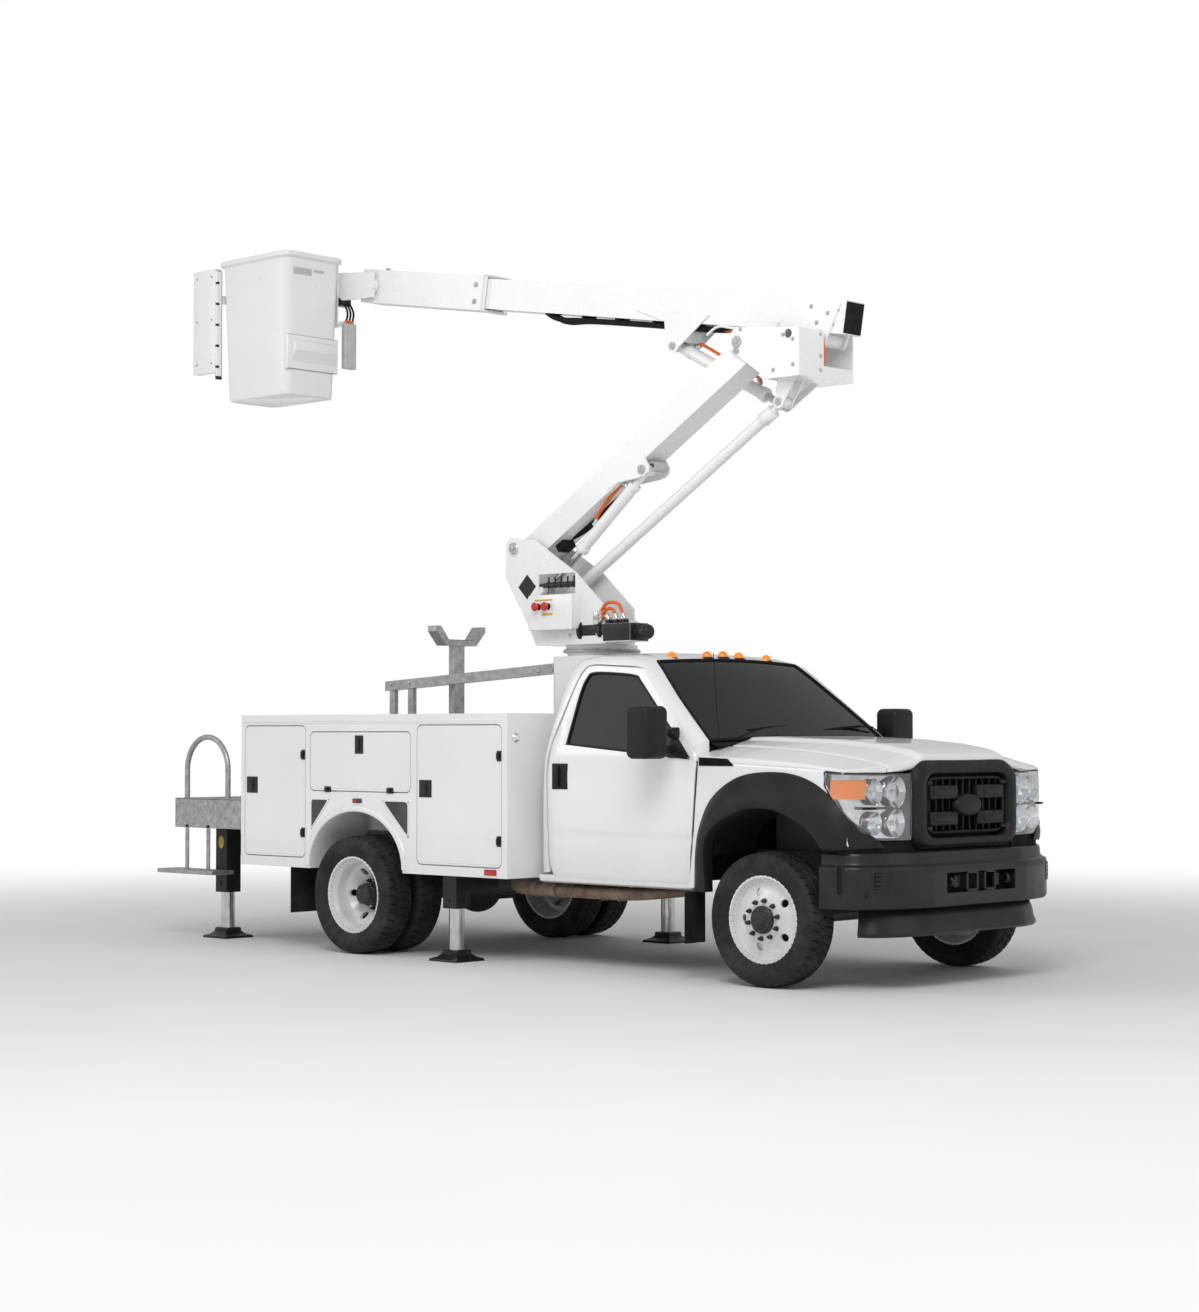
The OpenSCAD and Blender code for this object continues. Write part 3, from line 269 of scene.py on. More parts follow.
def grid(points, wrap_u=False, wrap_v=False):
    """Quads over an array of points (u, v, 3), joined round where wrap is set."""
    n, m = points.shape[:2]
    i = np.arange(n if wrap_u else n - 1)[:, None]
    j = np.arange(m if wrap_v else m - 1)[None, :]
    a, b = i * m + j, ((i + 1) % n) * m + j
    c, d = ((i + 1) % n) * m + (j + 1) % m, i * m + (j + 1) % m
    return points.reshape(-1, 3), np.stack([a, b, c, d], -1).reshape(-1, 4).tolist()


def revolve(profile, centre, axis, turns=64):
    """The profile of (radius, distance along the axis) carried round the axis."""
    profile, axis = np.asarray(profile, float), np.asarray(axis, float)
    side = np.cross(axis, [0, 0, 1.0] if abs(axis[2]) < 0.9 else [1.0, 0, 0])
    side /= np.linalg.norm(side)
    up = np.cross(axis, side)
    a = np.linspace(0, 2 * np.pi, turns, endpoint=False)[:, None, None]
    ring = np.cos(a) * side + np.sin(a) * up
    return grid(np.asarray(centre) + profile[None, :, :1] * ring + profile[None, :, 1:] * axis,
                wrap_u=True)


def piece(name, parts, material, body, bevel=0.0, smooth=35, subdiv=0):
    """One object from several parts, with outward faces, and it rides on its body."""
    points = np.vstack([p for p, f in parts])
    faces, start = [], 0
    for p, f in parts:
        faces += [[k + start for k in face] for face in f]
        start += len(p)
    obj = add_mesh(name, points, faces, material)
    bm = bmesh.new()
    bm.from_mesh(obj.data)
    bmesh.ops.remove_doubles(bm, verts=bm.verts, dist=1e-6)
    bmesh.ops.recalc_face_normals(bm, faces=bm.faces)
    bm.to_mesh(obj.data)
    bm.free()
    if bevel:
        mod = obj.modifiers.new("round_edges", "BEVEL")
        mod.width, mod.segments, mod.limit_method = bevel, 2, "ANGLE"
        mod.angle_limit = math.radians(30)
    if subdiv:
        mod = obj.modifiers.new("smooth_form", "SUBSURF")
        mod.levels = mod.render_levels = subdiv
    obj.data.shade_smooth()
    obj.data.set_sharp_from_angle(angle=math.radians(smooth))
    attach(obj, body)
    return obj


rim_paint = coated("rim_paint", (0.78, 0.79, 0.80), 0.3, 0.5, 0.5, 0.8)
dress(rim_paint, "left_front_rim", "right_front_rim", "left_rear_rims", "right_rear_rims",
      edge=0.0015, angle=40)
tyre_rubber, tree, shader, coords = new_material("tyre_rubber", Specular_IOR_Level=0.3)
dust = product(tree, ramp(tree, noise(tree, coords, 6, 6), 0, 1, 0.4, 0.75), 0.5)
tree.links.new(blend_colour(tree, dust, (0.012, 0.012, 0.013), (0.07, 0.067, 0.062)),
               shader.inputs["Base Color"])
tree.links.new(ramp(tree, noise(tree, coords, 30, 4), 0.55, 0.85), shader.inputs["Roughness"])
bump(tree, shader, noise(tree, coords, 350, 3), 0.3, 0.0008)


def step(x, width):
    """0 below 0, 1 above width, and a straight change between."""
    return np.clip(x / width, 0, 1)


def tyre(centre, out, outer=0.4, half=0.113, seat=0.2485):
    """Section outline carried round the axle; blocks and grooves push the tread inwards."""
    keys = np.array([[-.0725, seat], [-.0725, seat + .012], [-.088, seat + .014], [-.098, .285],
                     [-.1115, .325], [-half, .345], [-.108, .368], [-.101, .384], [-.092, .392],
                     [-.08, .3955], [-.04, .3988], [0, outer]])
    keys = np.vstack([keys, keys[-2::-1] * [-1, 1]])
    length = np.concatenate([[0], np.cumsum(np.linalg.norm(np.diff(keys, axis=0), axis=1))])
    s = np.linspace(0, length[-1], 72)
    y, r = np.interp(s, length, keys[:, 0]), np.interp(s, length, keys[:, 1])
    turns = 540
    a = np.linspace(0, 2 * np.pi, turns, endpoint=False)[:, None]
    beat = a / (2 * np.pi) * 45
    zig = 0.006 * (2 * np.abs(2 * (beat % 1) - 1) - 1)
    rib = 1 - sum(np.exp(-((y[None] - c - zig) / 0.0042) ** 4) for c in (-.03, .03))
    tread = step(0.098 - np.abs(y), 0.012)[None]
    shoulder = np.abs(y)[None] > 0.036
    phase = (beat + 0.5 * (y[None] > 0) + 0.12 * np.sin(y[None] * 60)) % 1
    cut = np.exp(-((phase - 0.5) / 0.10) ** 4)
    middle = (beat * 1 + y[None] * 9) % 1
    cut_middle = 0.7 * np.exp(-((middle - 0.5) / 0.09) ** 4)
    depth = 0.010 * tread * np.maximum(1 - rib, np.where(shoulder, cut, cut_middle))
    lug = 0.0035 * np.exp(-((np.abs(y)[None] - 0.108) / 0.006) ** 2) * (1 - cut)
    rings = 0.0012 * np.exp(-((r[None] - 0.30) / 0.002) ** 2) + 0.001 * np.exp(-((r[None] - 0.355) / 0.0015) ** 2)
    rr = r[None] - depth
    yy = y[None] + np.sign(y[None]) * (rings * (np.abs(y[None]) > 0.09)) - np.sign(y[None]) * lug * 0.3
    points = np.stack([np.cos(a) * rr, yy * np.ones_like(a), np.sin(a) * rr], -1)
    return grid(centre + points * [1, out, 1], wrap_u=True, wrap_v=True)


def middle_of(node, low=0, high=1):
    """The middle of a CAD node's box."""
    lo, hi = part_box(node)
    return (np.array(lo) + np.array(hi)) / 2


hub_black, tree, shader, coords = new_material("hub_black", Metallic=0.3)
tree.links.new(ramp(tree, noise(tree, coords, 40, 4), 0.015, 0.05), shader.inputs["Base Color"])
tree.links.new(ramp(tree, noise(tree, coords, 60, 4), 0.35, 0.6), shader.inputs["Roughness"])
bump(tree, shader, noise(tree, coords, 300, 3), 0.3, 0.0006)


def ring_of_nuts(centre, out, radius, count, start):
    """Domed hexagon nuts on studs, evenly round the axle."""
    parts = []
    for k in range(count):
        a = start + 2 * math.pi * k / count
        place = centre + np.array([math.cos(a) * radius, 0, math.sin(a) * radius])
        parts.append(revolve([[0, 0], [.0165, 0], [.0165, .004], [.0125, .005], [.0125, .020],
                              [.009, .024],
                              [.006, .024], [.006, .034], [0, .034]], place, [0, out, 0], 6))
    return parts


twin = 0.28
for side, out in (("right", -1), ("left", 1)):
    lo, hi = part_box(side + "_front_tyre")
    centre = middle_of(side + "_front_tyre")
    piece(side + "_front_tread", [tyre(centre, out)], tyre_rubber, side + "_front_wheel")
    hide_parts(side + "_front_tyre")
    rear = middle_of(side + "_rear_tyres")
    piece(side + "_rear_treads", [tyre(rear + [0, s * twin / 2, 0], out) for s in (-1, 1)],
          tyre_rubber, side + "_rear_wheels")
    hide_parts(side + "_rear_tyres")
    face = centre + [0, out * 0.08, 0]
    cap = [[0, .055], [.034, .055], [.040, .050], [.040, .044], [.050, .040], [.054, .034],
           [.072, .030],
           [.076, .022], [.082, .018], [.082, -.002], [0, -.002]]
    piece(side + "_front_hub", [revolve(cap, face, [0, out, 0], 48)] + ring_of_nuts(face, out,
            .1125, 10, .2),
          hub_black, side + "_front_wheel", smooth=30)
    inner = rear + [0, out * 0.026, 0]
    long_cap = [[0, .118], [.060, .118], [.068, .112], [.068, .085], [.075, .080], [.078, .02],
                [.085, .012],
                [.085, -.002], [0, -.002]]
    piece(side + "_rear_hub", [revolve(long_cap, inner, [0, out, 0], 48)] + ring_of_nuts(inner,
            out, .1, 10, .2),
          hub_black, side + "_rear_wheels", smooth=30)

# ------------------------------------------------------------------ cab
# Pressed steel cab in white gloss enamel: roof, pillars and doors are one smooth skin with
# narrow shut lines, the glass is dark, and the lower trim and mirrors are black plastic.


def tube(path, radius, sides=12, caps=True):
    """A round section carried along the path; the section turns as little as it can."""
    path = np.asarray(path, float)
    keep = np.append(True, np.linalg.norm(np.diff(path, axis=0), axis=1) > 1e-7)
    radius = np.broadcast_to(np.asarray(radius, float).reshape(-1, 1, 1), (len(path), 1, 1))[keep]
    path = path[keep]
    along = np.gradient(path, axis=0)
    still = np.linalg.norm(along, axis=1) < 1e-9
    along[still] = (path - np.roll(path, 1, axis=0))[still]
    along /= np.linalg.norm(along, axis=1, keepdims=True)
    ref = np.eye(3)[np.argmin(np.abs(along).mean(0))]
    side = np.cross(along, ref)
    lost = np.linalg.norm(side, axis=1) < 1e-6
    side[lost] = (np.roll(side, 1, axis=0) + np.roll(side, -1, axis=0))[lost]
    side /= np.linalg.norm(side, axis=1, keepdims=True)
    up = np.cross(along, side)
    a = np.linspace(0, 2 * np.pi, sides, endpoint=False)[None, :, None]
    points, faces = grid(path[:, None] + radius * (np.cos(a) * side[:, None] + np.sin(a) * up[:,
            None]),
                         wrap_v=True)
    if caps:
        faces += [list(range(sides)), list(range(len(points) - 1, len(points) - sides - 1, -1))]
    return points, faces


def curve_through(points, count=24):
    """A smooth path through a few points (Catmull-Rom), as an array."""
    p = np.asarray(points, float)
    p = np.vstack([2 * p[0] - p[1], p, 2 * p[-1] - p[-2]])
    s = np.linspace(0, len(p) - 3 - 1e-9, count)
    k = s.astype(int)
    t = (s - k)[:, None]
    a, b, c, d = p[k], p[k + 1], p[k + 2], p[k + 3]
    return 0.5 * (2 * b + (c - a) * t + (2 * a - 5 * b + 4 * c - d) * t ** 2
                  + (3 * b - a - 3 * c + d) * t ** 3)


def rounded_block(lo, hi, r, steps=4):
    """A block with round edges: a ball's eight corners moved out, and flat spans between."""
    lo, hi = np.asarray(lo, float), np.asarray(hi, float)
    quarter = np.linspace(0, np.pi / 2, steps)
    turn = np.concatenate([quarter + k * np.pi / 2 for k in range(4)])
    sx, sy = np.repeat([1, -1, -1, 1], steps), np.repeat([1, 1, -1, -1], steps)
    lift = np.concatenate([quarter - np.pi / 2, quarter])
    sz = np.repeat([-1, 1], steps)
    normal = np.stack(np.broadcast_arrays(np.cos(lift)[:, None] * np.cos(turn),
                                          np.cos(lift)[:, None] * np.sin(turn),
                                          np.sin(lift)[:, None]), -1)
    sign = np.stack(np.broadcast_arrays(sx[None], sy[None], sz[:, None]), -1)
    points, faces = grid((lo + hi) / 2 + sign * ((hi - lo) / 2 - r) + r * normal, wrap_v=True)
    n = 4 * steps
    faces += [list(range(n - 1, -1, -1)), list(range(len(points) - n, len(points)))]
    return points, faces


body_paint = coated("body_paint", (0.86, 0.865, 0.87), 0.22, 0.8, 0.22, 0.9)
trim_black, tree, shader, coords = new_material("trim_black", Specular_IOR_Level=0.3)
tree.links.new(ramp(tree, noise(tree, coords, 8, 5), 0.008, 0.014), shader.inputs["Base Color"])
tree.links.new(ramp(tree, noise(tree, coords, 12, 4), 0.42, 0.58), shader.inputs["Roughness"])
bump(tree, shader, noise(tree, coords, 900, 2), 0.35, 0.0005)
soft_black, tree, shader, coords = new_material("soft_black", Specular_IOR_Level=0.2)
tree.links.new(ramp(tree, noise(tree, coords, 20, 5), 0.006, 0.014), shader.inputs["Base Color"])
tree.links.new(ramp(tree, noise(tree, coords, 30, 4), 0.7, 0.9), shader.inputs["Roughness"])
bump(tree, shader, noise(tree, coords, 500, 2), 0.4, 0.0006)
dark_glass, tree, shader, coords = new_material("dark_glass", IOR=1.30, Transmission_Weight=0.55)
tree.links.new(ramp(tree, noise(tree, coords, 1.5, 3), (0.012, 0.015, 0.016),
                    (0.020, 0.024, 0.025)), shader.inputs["Base Color"])
tree.links.new(ramp(tree, noise(tree, coords, 5, 5), 0.02, 0.06), shader.inputs["Roughness"])
bump(tree, shader, noise(tree, coords, 3, 2), 0.05, 0.002)

hoop = curve_through([[.53, .955], [.60, .972], [.74, .990], [1.0, 1.0], [1.3, .998], [1.42, .980],
                      [1.60, .926], [1.888, .838], [1.956, .80], [2.02, .76]], 200)


def cab_half(z):
    """Half width of the cab at height z."""
    return np.interp(z, hoop[:, 0], hoop[:, 1])


def shell(points, thick, away_from, wrap=False):
    """A sheet given thickness on the side towards away_from, with closed edges."""
    du, dv = np.gradient(points, axis=0), np.gradient(points, axis=1)
    if wrap:
        du = (np.roll(points, -1, 0) - np.roll(points, 1, 0)) / 2
    normal = np.cross(du, dv)
    normal /= np.maximum(np.linalg.norm(normal, axis=2, keepdims=True), 1e-9)
    flip = np.sign(((points - np.asarray(away_from)) * normal).sum(-1).mean()) or 1
    inner = points - thick * flip * normal
    outer_p, outer_f = grid(points, wrap_u=wrap)
    n = len(outer_p)
    m, k = points.shape[:2]
    faces = outer_f + [[v + n for v in f[::-1]] for f in outer_f]
    index = np.arange(n).reshape(m, k)
    edges = [index[:, 0], index[:, -1][::-1]] + ([] if wrap else [index[0][::-1], index[-1]])
    for edge in edges:
        steps = len(edge) if wrap else len(edge) - 1
        faces += [[int(edge[i]), int(edge[(i + 1) % len(edge)]), int(edge[(i + 1) % len(edge)]) + n,
                   int(edge[i]) + n] for i in range(steps)]
    return np.vstack([outer_p, inner.reshape(-1, 3)]), faces


def between(first, last, count):
    """Rows that run straight from the curve first to the curve last."""
    t = np.linspace(0, 1, count)[None, :, None]
    return first[:, None] * (1 - t) + last[:, None] * t


def on_side(xz, out, proud=0.0):
    """Points on the cab's side skin from (x, z)."""
    return np.stack([axle + xz[..., 0], out * (cab_half(xz[..., 1]) + proud), xz[..., 1]], -1)


middle = at(-1.3, 0, 1.2)
# door edge, corner of the skin and inner edge of the roof, windscreen or rear wall
rail_keys = np.array([
    [-.578, 1.392, -.552, .965, 1.440, -.552, .880, 1.452], [-.845, 1.626, -.860, .894, 1.704,
                                                             -.860, .800, 1.708],
    [-1.093, 1.862, -1.130, .825, 1.914, -1.130, .700, 1.932], [-1.175, 1.914, -1.250, .800, 1.968,
                                                                -1.240, .660, 1.984],
    [-1.400, 1.930, -1.420, .800, 1.988, -1.420, .640, 2.007], [-1.590, 1.937, -1.660, .800, 1.982,
                                                                -1.660, .660, 1.999],
    [-1.658, 1.906, -1.800, .805, 1.950, -1.800, .660, 1.960], [-1.708, 1.800, -1.838, .865, 1.820,
                                                                -1.838, .760, 1.825],
    [-1.808, 1.440, -1.874, .972, 1.450, -1.874, .860, 1.450], [-1.832, 1.200, -1.893, .998, 1.200,
                                                                -1.893, .880, 1.200],
    [-1.828, .610, -1.933, .972, .600, -1.933, .870, .600]])
rail = curve_through(rail_keys, 90)
white_cab = []
for out in (-1, 1):
    a = on_side(rail[:, :2], out, -0.001)[:, None]
    b = (np.stack([axle + rail[:, 2], out * rail[:, 3], rail[:, 4]], -1))[:, None]
    c = (np.stack([axle + rail[:, 5], out * rail[:, 6], rail[:, 7]], -1))[:, None]
    t = np.linspace(0, 1, 12)[None, :, None]
    pillar = (1 - t) ** 2 * a + 2 * t * (1 - t) * b + t ** 2 * c
    foot = pillar[0] * [1, 1, 0] + [.004, 0, 1.33]
    white_cab += [shell(pillar, .022, middle), shell(between(foot, pillar[0], 5), .022, middle)]
edge = np.stack([axle + rail[:, 5], rail[:, 6], rail[:, 7]], -1)
screen_rows, roof_rows, rear_rows = edge[:20], edge[19:57], edge[56:]


def spanned(rows, count, crown, bow=0.0):
    """From one side's edge to the other's, arched upwards by crown and forwards by bow."""
    v = np.linspace(-1, 1, count)[None, :, None]
    arc = 1 - v ** 2
    return rows[:, None] * [1, 0, 1] + rows[:, None] * [0, 1, 0] * v + arc * np.array([bow, 0,
            crown])


white_cab.append(shell(spanned(roof_rows, 30, .014), .022, middle))
lower_rear = rear_rows[rear_rows[:, 2] < 1.47]
upper_rear = rear_rows[rear_rows[:, 2] > 1.86]
white_cab += [shell(spanned(lower_rear, 16, 0), .022, middle), shell(spanned(upper_rear, 16, .004),
        .022, middle)]
window_rows = rear_rows[(rear_rows[:, 2] < 1.90) & (rear_rows[:, 2] > 1.42)]
for v0, v1 in ((-1, -.62), (.62, 1)):
    v = np.linspace(v0, v1, 6)[None, :, None]
    white_cab.append(shell(window_rows[:, None] * [1, 0, 1] + window_rows[:, None] * [0, 1, 0] * v,
                           .022, middle))
# sills under the doors
for out in (-1, 1):
    xz = np.stack([np.linspace(-.63, -1.93, 30)] * 2, -1)
    rows = np.stack([on_side(np.stack([xz[:, 0], np.full(30, z)], -1), out, p) for z, p in
                     ((.592, -.012), (.575, -.004), (.552, -.008), (.540, -.03), (.540, -.10))], 1)
    white_cab.append(shell(rows, .012, middle))
cab_skin = piece("cab_skin", white_cab, body_paint, "truck", smooth=40)
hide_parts("cab_shell")

# trimmed inside: headlining, back panel, kick panels and floor
def inset(part, centre, by):
    """A part drawn in towards a centre."""
    return centre + (part[0] - centre) * by, part[1]


floor_lo, floor_hi = at(-1.86, -.88, .66), at(-.60, .88, .70)
liner = [inset(p, middle, np.array([.955, .95, .96])) for p in white_cab[:-2]]
liner += [rounded_block(floor_lo, floor_hi, .01), rounded_block(at(-1.86, -.43, .70),
                                                                at(-.60, .43, .862), .03),
          rounded_block(at(-.625, -.88, .60), at(-.560, .88, 1.425), .01)]
piece("cab_lining", liner, soft_black, "truck", smooth=40)

glass_rows = screen_rows * [1, .985, 1]
screen = spanned(glass_rows, 30, .02, .03)
piece("windscreen", [shell(screen, .006, middle)], dark_glass, "truck", smooth=60)
loop = np.concatenate([screen[:, 0], screen[-1], screen[::-1, -1], screen[0, ::-1]]) + [0, 0, .002]
gasket = [tube(np.vstack([loop, loop[:1]]), .011, 8)]
rear_v = np.linspace(-.62, .62, 12)[None, :, None]
rear_glass = window_rows[:, None] * [1, 0, 1] + window_rows[:, None] * [0, 1, 0] * rear_v + [.006,
        0, 0]
piece("rear_window", [shell(rear_glass, .006, middle)], dark_glass, "truck", smooth=60)
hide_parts("cab_glass")
loop = np.concatenate([rear_glass[:, 0], rear_glass[-1], rear_glass[::-1, -1], rear_glass[0, ::-1]])
gasket.append(tube(np.vstack([loop, loop[:1]]) - [.008, 0, 0], .012, 8))
# cowl, wiper arms and blades
cowl = np.stack([np.stack([np.full(24, axle + x), np.linspace(-.86, .86, 24),
                           z - .02 * np.linspace(-1, 1, 24) ** 2], -1) for x, z in
                 ((-.562, 1.466), (-.52, 1.452), (-.50, 1.44))], 1)
gasket.append(shell(cowl, .01, middle))
for y0, y1 in ((-.62, -.02), (.12, .72)):
    gasket.append(tube(curve_through([at(-.548, y0, 1.468), at(-.60, (y0 + y1) / 2, 1.522),
                                      at(-.622, y1, 1.545)]), .008, 6))
    gasket.append(tube(curve_through([at(-.590, y1 - .45, 1.518), at(-.612, y1 - .12, 1.541),
                                      at(-.618, y1 + .12, 1.538)]), .006, 6))
# the aerial, a thin black rod beside the right windscreen pillar
gasket.append(tube([at(-.50, -.83, 1.40), at(-.53, -.83, 1.60), at(-.56, -.83, 1.99)], .0022, 6))
piece("screen_trim", gasket, soft_black, "truck", smooth=50)

amber_lens, tree, shader, coords = new_material("amber_lens", IOR=1.49, Transmission_Weight=0.2,
                                                Coat_Weight=0.3,
                                               Emission_Color=(1.0, 0.36, 0.0, 1.0),
                                                Emission_Strength=0.22)
tree.links.new(ramp(tree, noise(tree, coords, 30, 3), (0.95, 0.22, 0.0), (1.0, 0.30, 0.0)),
               shader.inputs["Base Color"])
tree.links.new(ramp(tree, noise(tree, coords, 25, 3), 0.12, 0.25), shader.inputs["Roughness"])
bump(tree, shader, noise(tree, coords, 260, 1, (1, 6, 1)), 0.5, 0.001)
domes, bases = [], []
for x, y in ((-1.20, 0), (-1.20, -.158), (-1.20, .158), (-1.225, -.47), (-1.225, .47)):
    z = 1.992 - .03 * abs(y) - .01
    domes.append(revolve([[0, .052], [.012, .050], [.024, .042], [.031, .028], [.034, .010],
                          [.034, 0], [0, 0]],
                         at(x, y, z), [0, 0, 1], 20))
    bases.append(revolve([[0, .016], [.040, .013], [.046, .004], [.047, -.012], [0, -.012]],
                         at(x, y, z), [0, 0, 1], 20))
piece("roof_lamps", domes, amber_lens, "truck", smooth=50)
piece("roof_lamp_bases", bases, trim_black, "truck")

# doors: lower panel up to the window line, frame round the window, handle and seal
frame_keys = np.array([
    [-.562, 1.330, -.640, 1.346], [-.600, 1.408, -.665, 1.392], [-.850, 1.640, -.895, 1.602],
    [-1.096, 1.868, -1.135, 1.815], [-1.160, 1.906, -1.195, 1.856], [-1.380, 1.921, -1.380, 1.876],
    [-1.590, 1.930, -1.565, 1.880], [-1.650, 1.900, -1.612, 1.848], [-1.700, 1.800, -1.642, 1.755],
    [-1.770, 1.550, -1.662, 1.560], [-1.802, 1.430, -1.672, 1.425]])
frame_curve = curve_through(frame_keys, 70)
for side, out in (("right", -1), ("left", 1)):
    body = side + "_cab_door"
    u, v = np.meshgrid(np.linspace(0, 1, 40), np.linspace(0, 1, 36), indexing="ij")
    top = 1.334 + .100 * u
    z = .566 + (top - .566) * v
    front = np.interp(z, [.56, .90, 1.322, 1.45], [-.640, -.598, -.560, -.600])
    rear = np.interp(z, [.56, .66, 1.2, 1.44], [-1.795, -1.820, -1.824, -1.802])
    x = front + (rear - front) * u
    crease = -.006 * np.exp(-((z - .845) / .022) ** 2) + .004 * np.exp(-((z - 1.24) / .10) ** 2)
    tuck = -.010 * np.exp(-(1 - np.abs(2 * u - 1)) / .012) - .008 * np.exp(-v / .012)
    panel = np.stack([axle + x, out * (cab_half(z) + crease + tuck), z], -1)
    frame_rows = np.stack([on_side(frame_curve[:, :2] * (1 - t) + frame_curve[:, 2:] * t, out, p)
                           for t, p in ((0, -.008), (.12, 0), (.8, 0), (1, -.010))], 1)
    skin = piece(side + "_door_skin", [shell(panel, .018, middle), shell(frame_rows, .03, middle)],
                 body_paint,
                 body, smooth=30)
    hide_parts(side + "_door")
    glass_loop = on_side(frame_curve[:, 2:], out, -.014)
    base = glass_loop[0] + (glass_loop[-1] - glass_loop[0]) * np.linspace(0, 1, 70)[:, None]
    pane = piece(side + "_door_pane", [shell(between(base, glass_loop, 8), .005, middle)],
                 dark_glass, body, smooth=60)
    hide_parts(side + "_door_glass")
    card_u = panel * 1
    card_u[..., 1] -= out * .075
    trim = [shell(card_u[1:-1, 1:], .03, at(-1.2, out * 3, 1))]
    trim.append(tube(np.vstack([base - [0, out * -.004, 0]]), .010, 8))
    trim.append(tube(glass_loop + [0, out * .006, 0], .008, 8))
    # handle bowl and grip
    hx, hz = -1.70, 1.225
    trim.append(rounded_block(at(hx - .075, min(out * .992, out * 1.0065), hz - .085),
                              at(hx + .065, max(out * .992, out * 1.0065), hz + .08), .006))
    trim.append(rounded_block(at(hx - .045, min(out * 1.0, out * 1.028), hz - .070),
                              at(hx - .005, max(out * 1.0, out * 1.028), hz + .068), .010))
    piece(side + "_door_trim", trim, trim_black, body, smooth=40)
    # mirror: sail, two telescoping arms and a tall head
    lo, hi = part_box(side + "_mirror")
    sail = on_side(np.array([[-.606, 1.348], [-.772, 1.348], [-.772, 1.405], [-.772, 1.462],
                             [-.772, 1.520]]), out, .014)
    rim_line = on_side(np.array([[-.606, 1.348], [-.606, 1.350], [-.650, 1.398], [-.705, 1.452],
                                 [-.765, 1.520]]), out, .014)
    arms = [shell(between(sail, rim_line, 6), .03, middle)]
    for z in (1.398, 1.500):
        arms.append(tube([at(-.742, out * .96, z), at(-.748, out * 1.06, z),
                          at(-.756, out * 1.16, z)], .019, 14))
        arms.append(tube([at(-.742, out * .965, z), at(-.745, out * 1.035, z)], .026, 14))
        arms.append(rounded_block(at(-.775, min(out * .96, out * 1.005), z - .034),
                                  at(-.715, max(out * .96, out * 1.005), z + .034), .010))
    heads = [rounded_block((lo[0], min(out * 1.132, hi[1] if out > 0 else lo[1]), 1.342),
                           (hi[0] - .028, max(out * 1.132, hi[1] if out > 0 else lo[1]), 1.663),
                           .042, 7)]
    mirror = piece(side + "_mirror_arms", arms + heads, trim_black, body, smooth=40)
    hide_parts(side + "_mirror")

# ------------------------------------------------------------------ nose
# Pressed hood with a raised middle and two front fenders in white, a moulded satin-black
# grille frame, wide black wheel flares, clear headlamps and a black steel bumper.


def sheet_metal(outline, axis, start, end):
    """A flat outline of two coordinates, given thickness along axis 0, 1 or 2."""
    outline = np.asarray(outline, float)
    n = len(outline)
    rest = [k for k in range(3) if k != axis]
    points = np.zeros((2 * n, 3))
    points[:n, rest], points[n:, rest] = outline, outline
    points[:n, axis], points[n:, axis] = start, end
    faces = [list(range(n)), list(range(2 * n - 1, n - 1, -1))]
    faces += [[k, k + n, (k + 1) % n + n, (k + 1) % n] for k in range(n)]
    return points, faces


def turned(part, matrix, centre):
    """A part turned about centre by a 3 x 3 matrix."""
    return (part[0] - centre) @ np.asarray(matrix).T + centre, part[1]


centre_x = [-.56, -.38, .10, .40, .60, .69, .72]


def top_skin(x, y):
    """Height of hood and fender tops: a centre line, a fall to the sides and a raised middle."""
    y = np.abs(y)
    line = np.interp(x, centre_x, [1.462, 1.464, 1.445, 1.420, 1.388, 1.358, 1.345])
    side = np.interp(x, [-.56, -.16, .20, .424, .70], [1.352, 1.340, 1.320, 1.297, 1.268])
    power = np.interp(x, [-.56, .10, .70], [1.7, 1.4, .85])
    fall = np.clip((y - .40) / .585, 0, 1) ** power
    edge_y = np.interp(x, [-.56, .70], [.56, .455])
    rise = np.clip((edge_y - y) / .055, 0, 1)
    return line - (line - side) * fall + .016 * rise ** 2 * (3 - 2 * rise)


def nose_plan(y):
    """How far forward hood, fenders and lamps reach at width y."""
    return np.interp(np.abs(y), [0, .52, .70, .86, .94, .985], [.706, .702, .690, .650, .606, .560])


def carried(xyz):
    """The same points moved to the front axle."""
    return xyz + [axle, 0, 0]


below = at(0, 0, .6)
v, u = np.meshgrid(np.linspace(-.722, .722, 97), np.linspace(0, 1, 80), indexing="ij")
x = -.546 + (nose_plan(v) - .004 + .546) * u
z = top_skin(x, v) - .010 * np.exp(-(1 - u) / .008) - .008 * np.exp(-(.722 - np.abs(v)) / .006)
hood = [shell(carried(np.stack([x, v, z], -1)), .016, below)]
lip_y = np.linspace(-.722, .722, 60)
lip_x = nose_plan(lip_y) - .004
lip_top = top_skin(lip_x, lip_y) - .008
hood.append(shell(carried(np.stack([np.stack([lip_x - d, lip_y, np.maximum(lip_top - h, 1.272)],
                                             -1) for d, h in
                                    ((0, 0), (-.002, .012), (0, .03), (.010, .04))], 1)), .008,
                  below))
hood_skin = piece("hood_skin", hood, body_paint, "hood_body", smooth=40)
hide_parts("hood")
nozzles = [rounded_block(at(-.50, y - .018, 1.470), at(-.46, y + .018, 1.486),
                         .006) for y in (-.33, .33)]
piece("washer_nozzles", nozzles, soft_black, "hood_body", smooth=40)

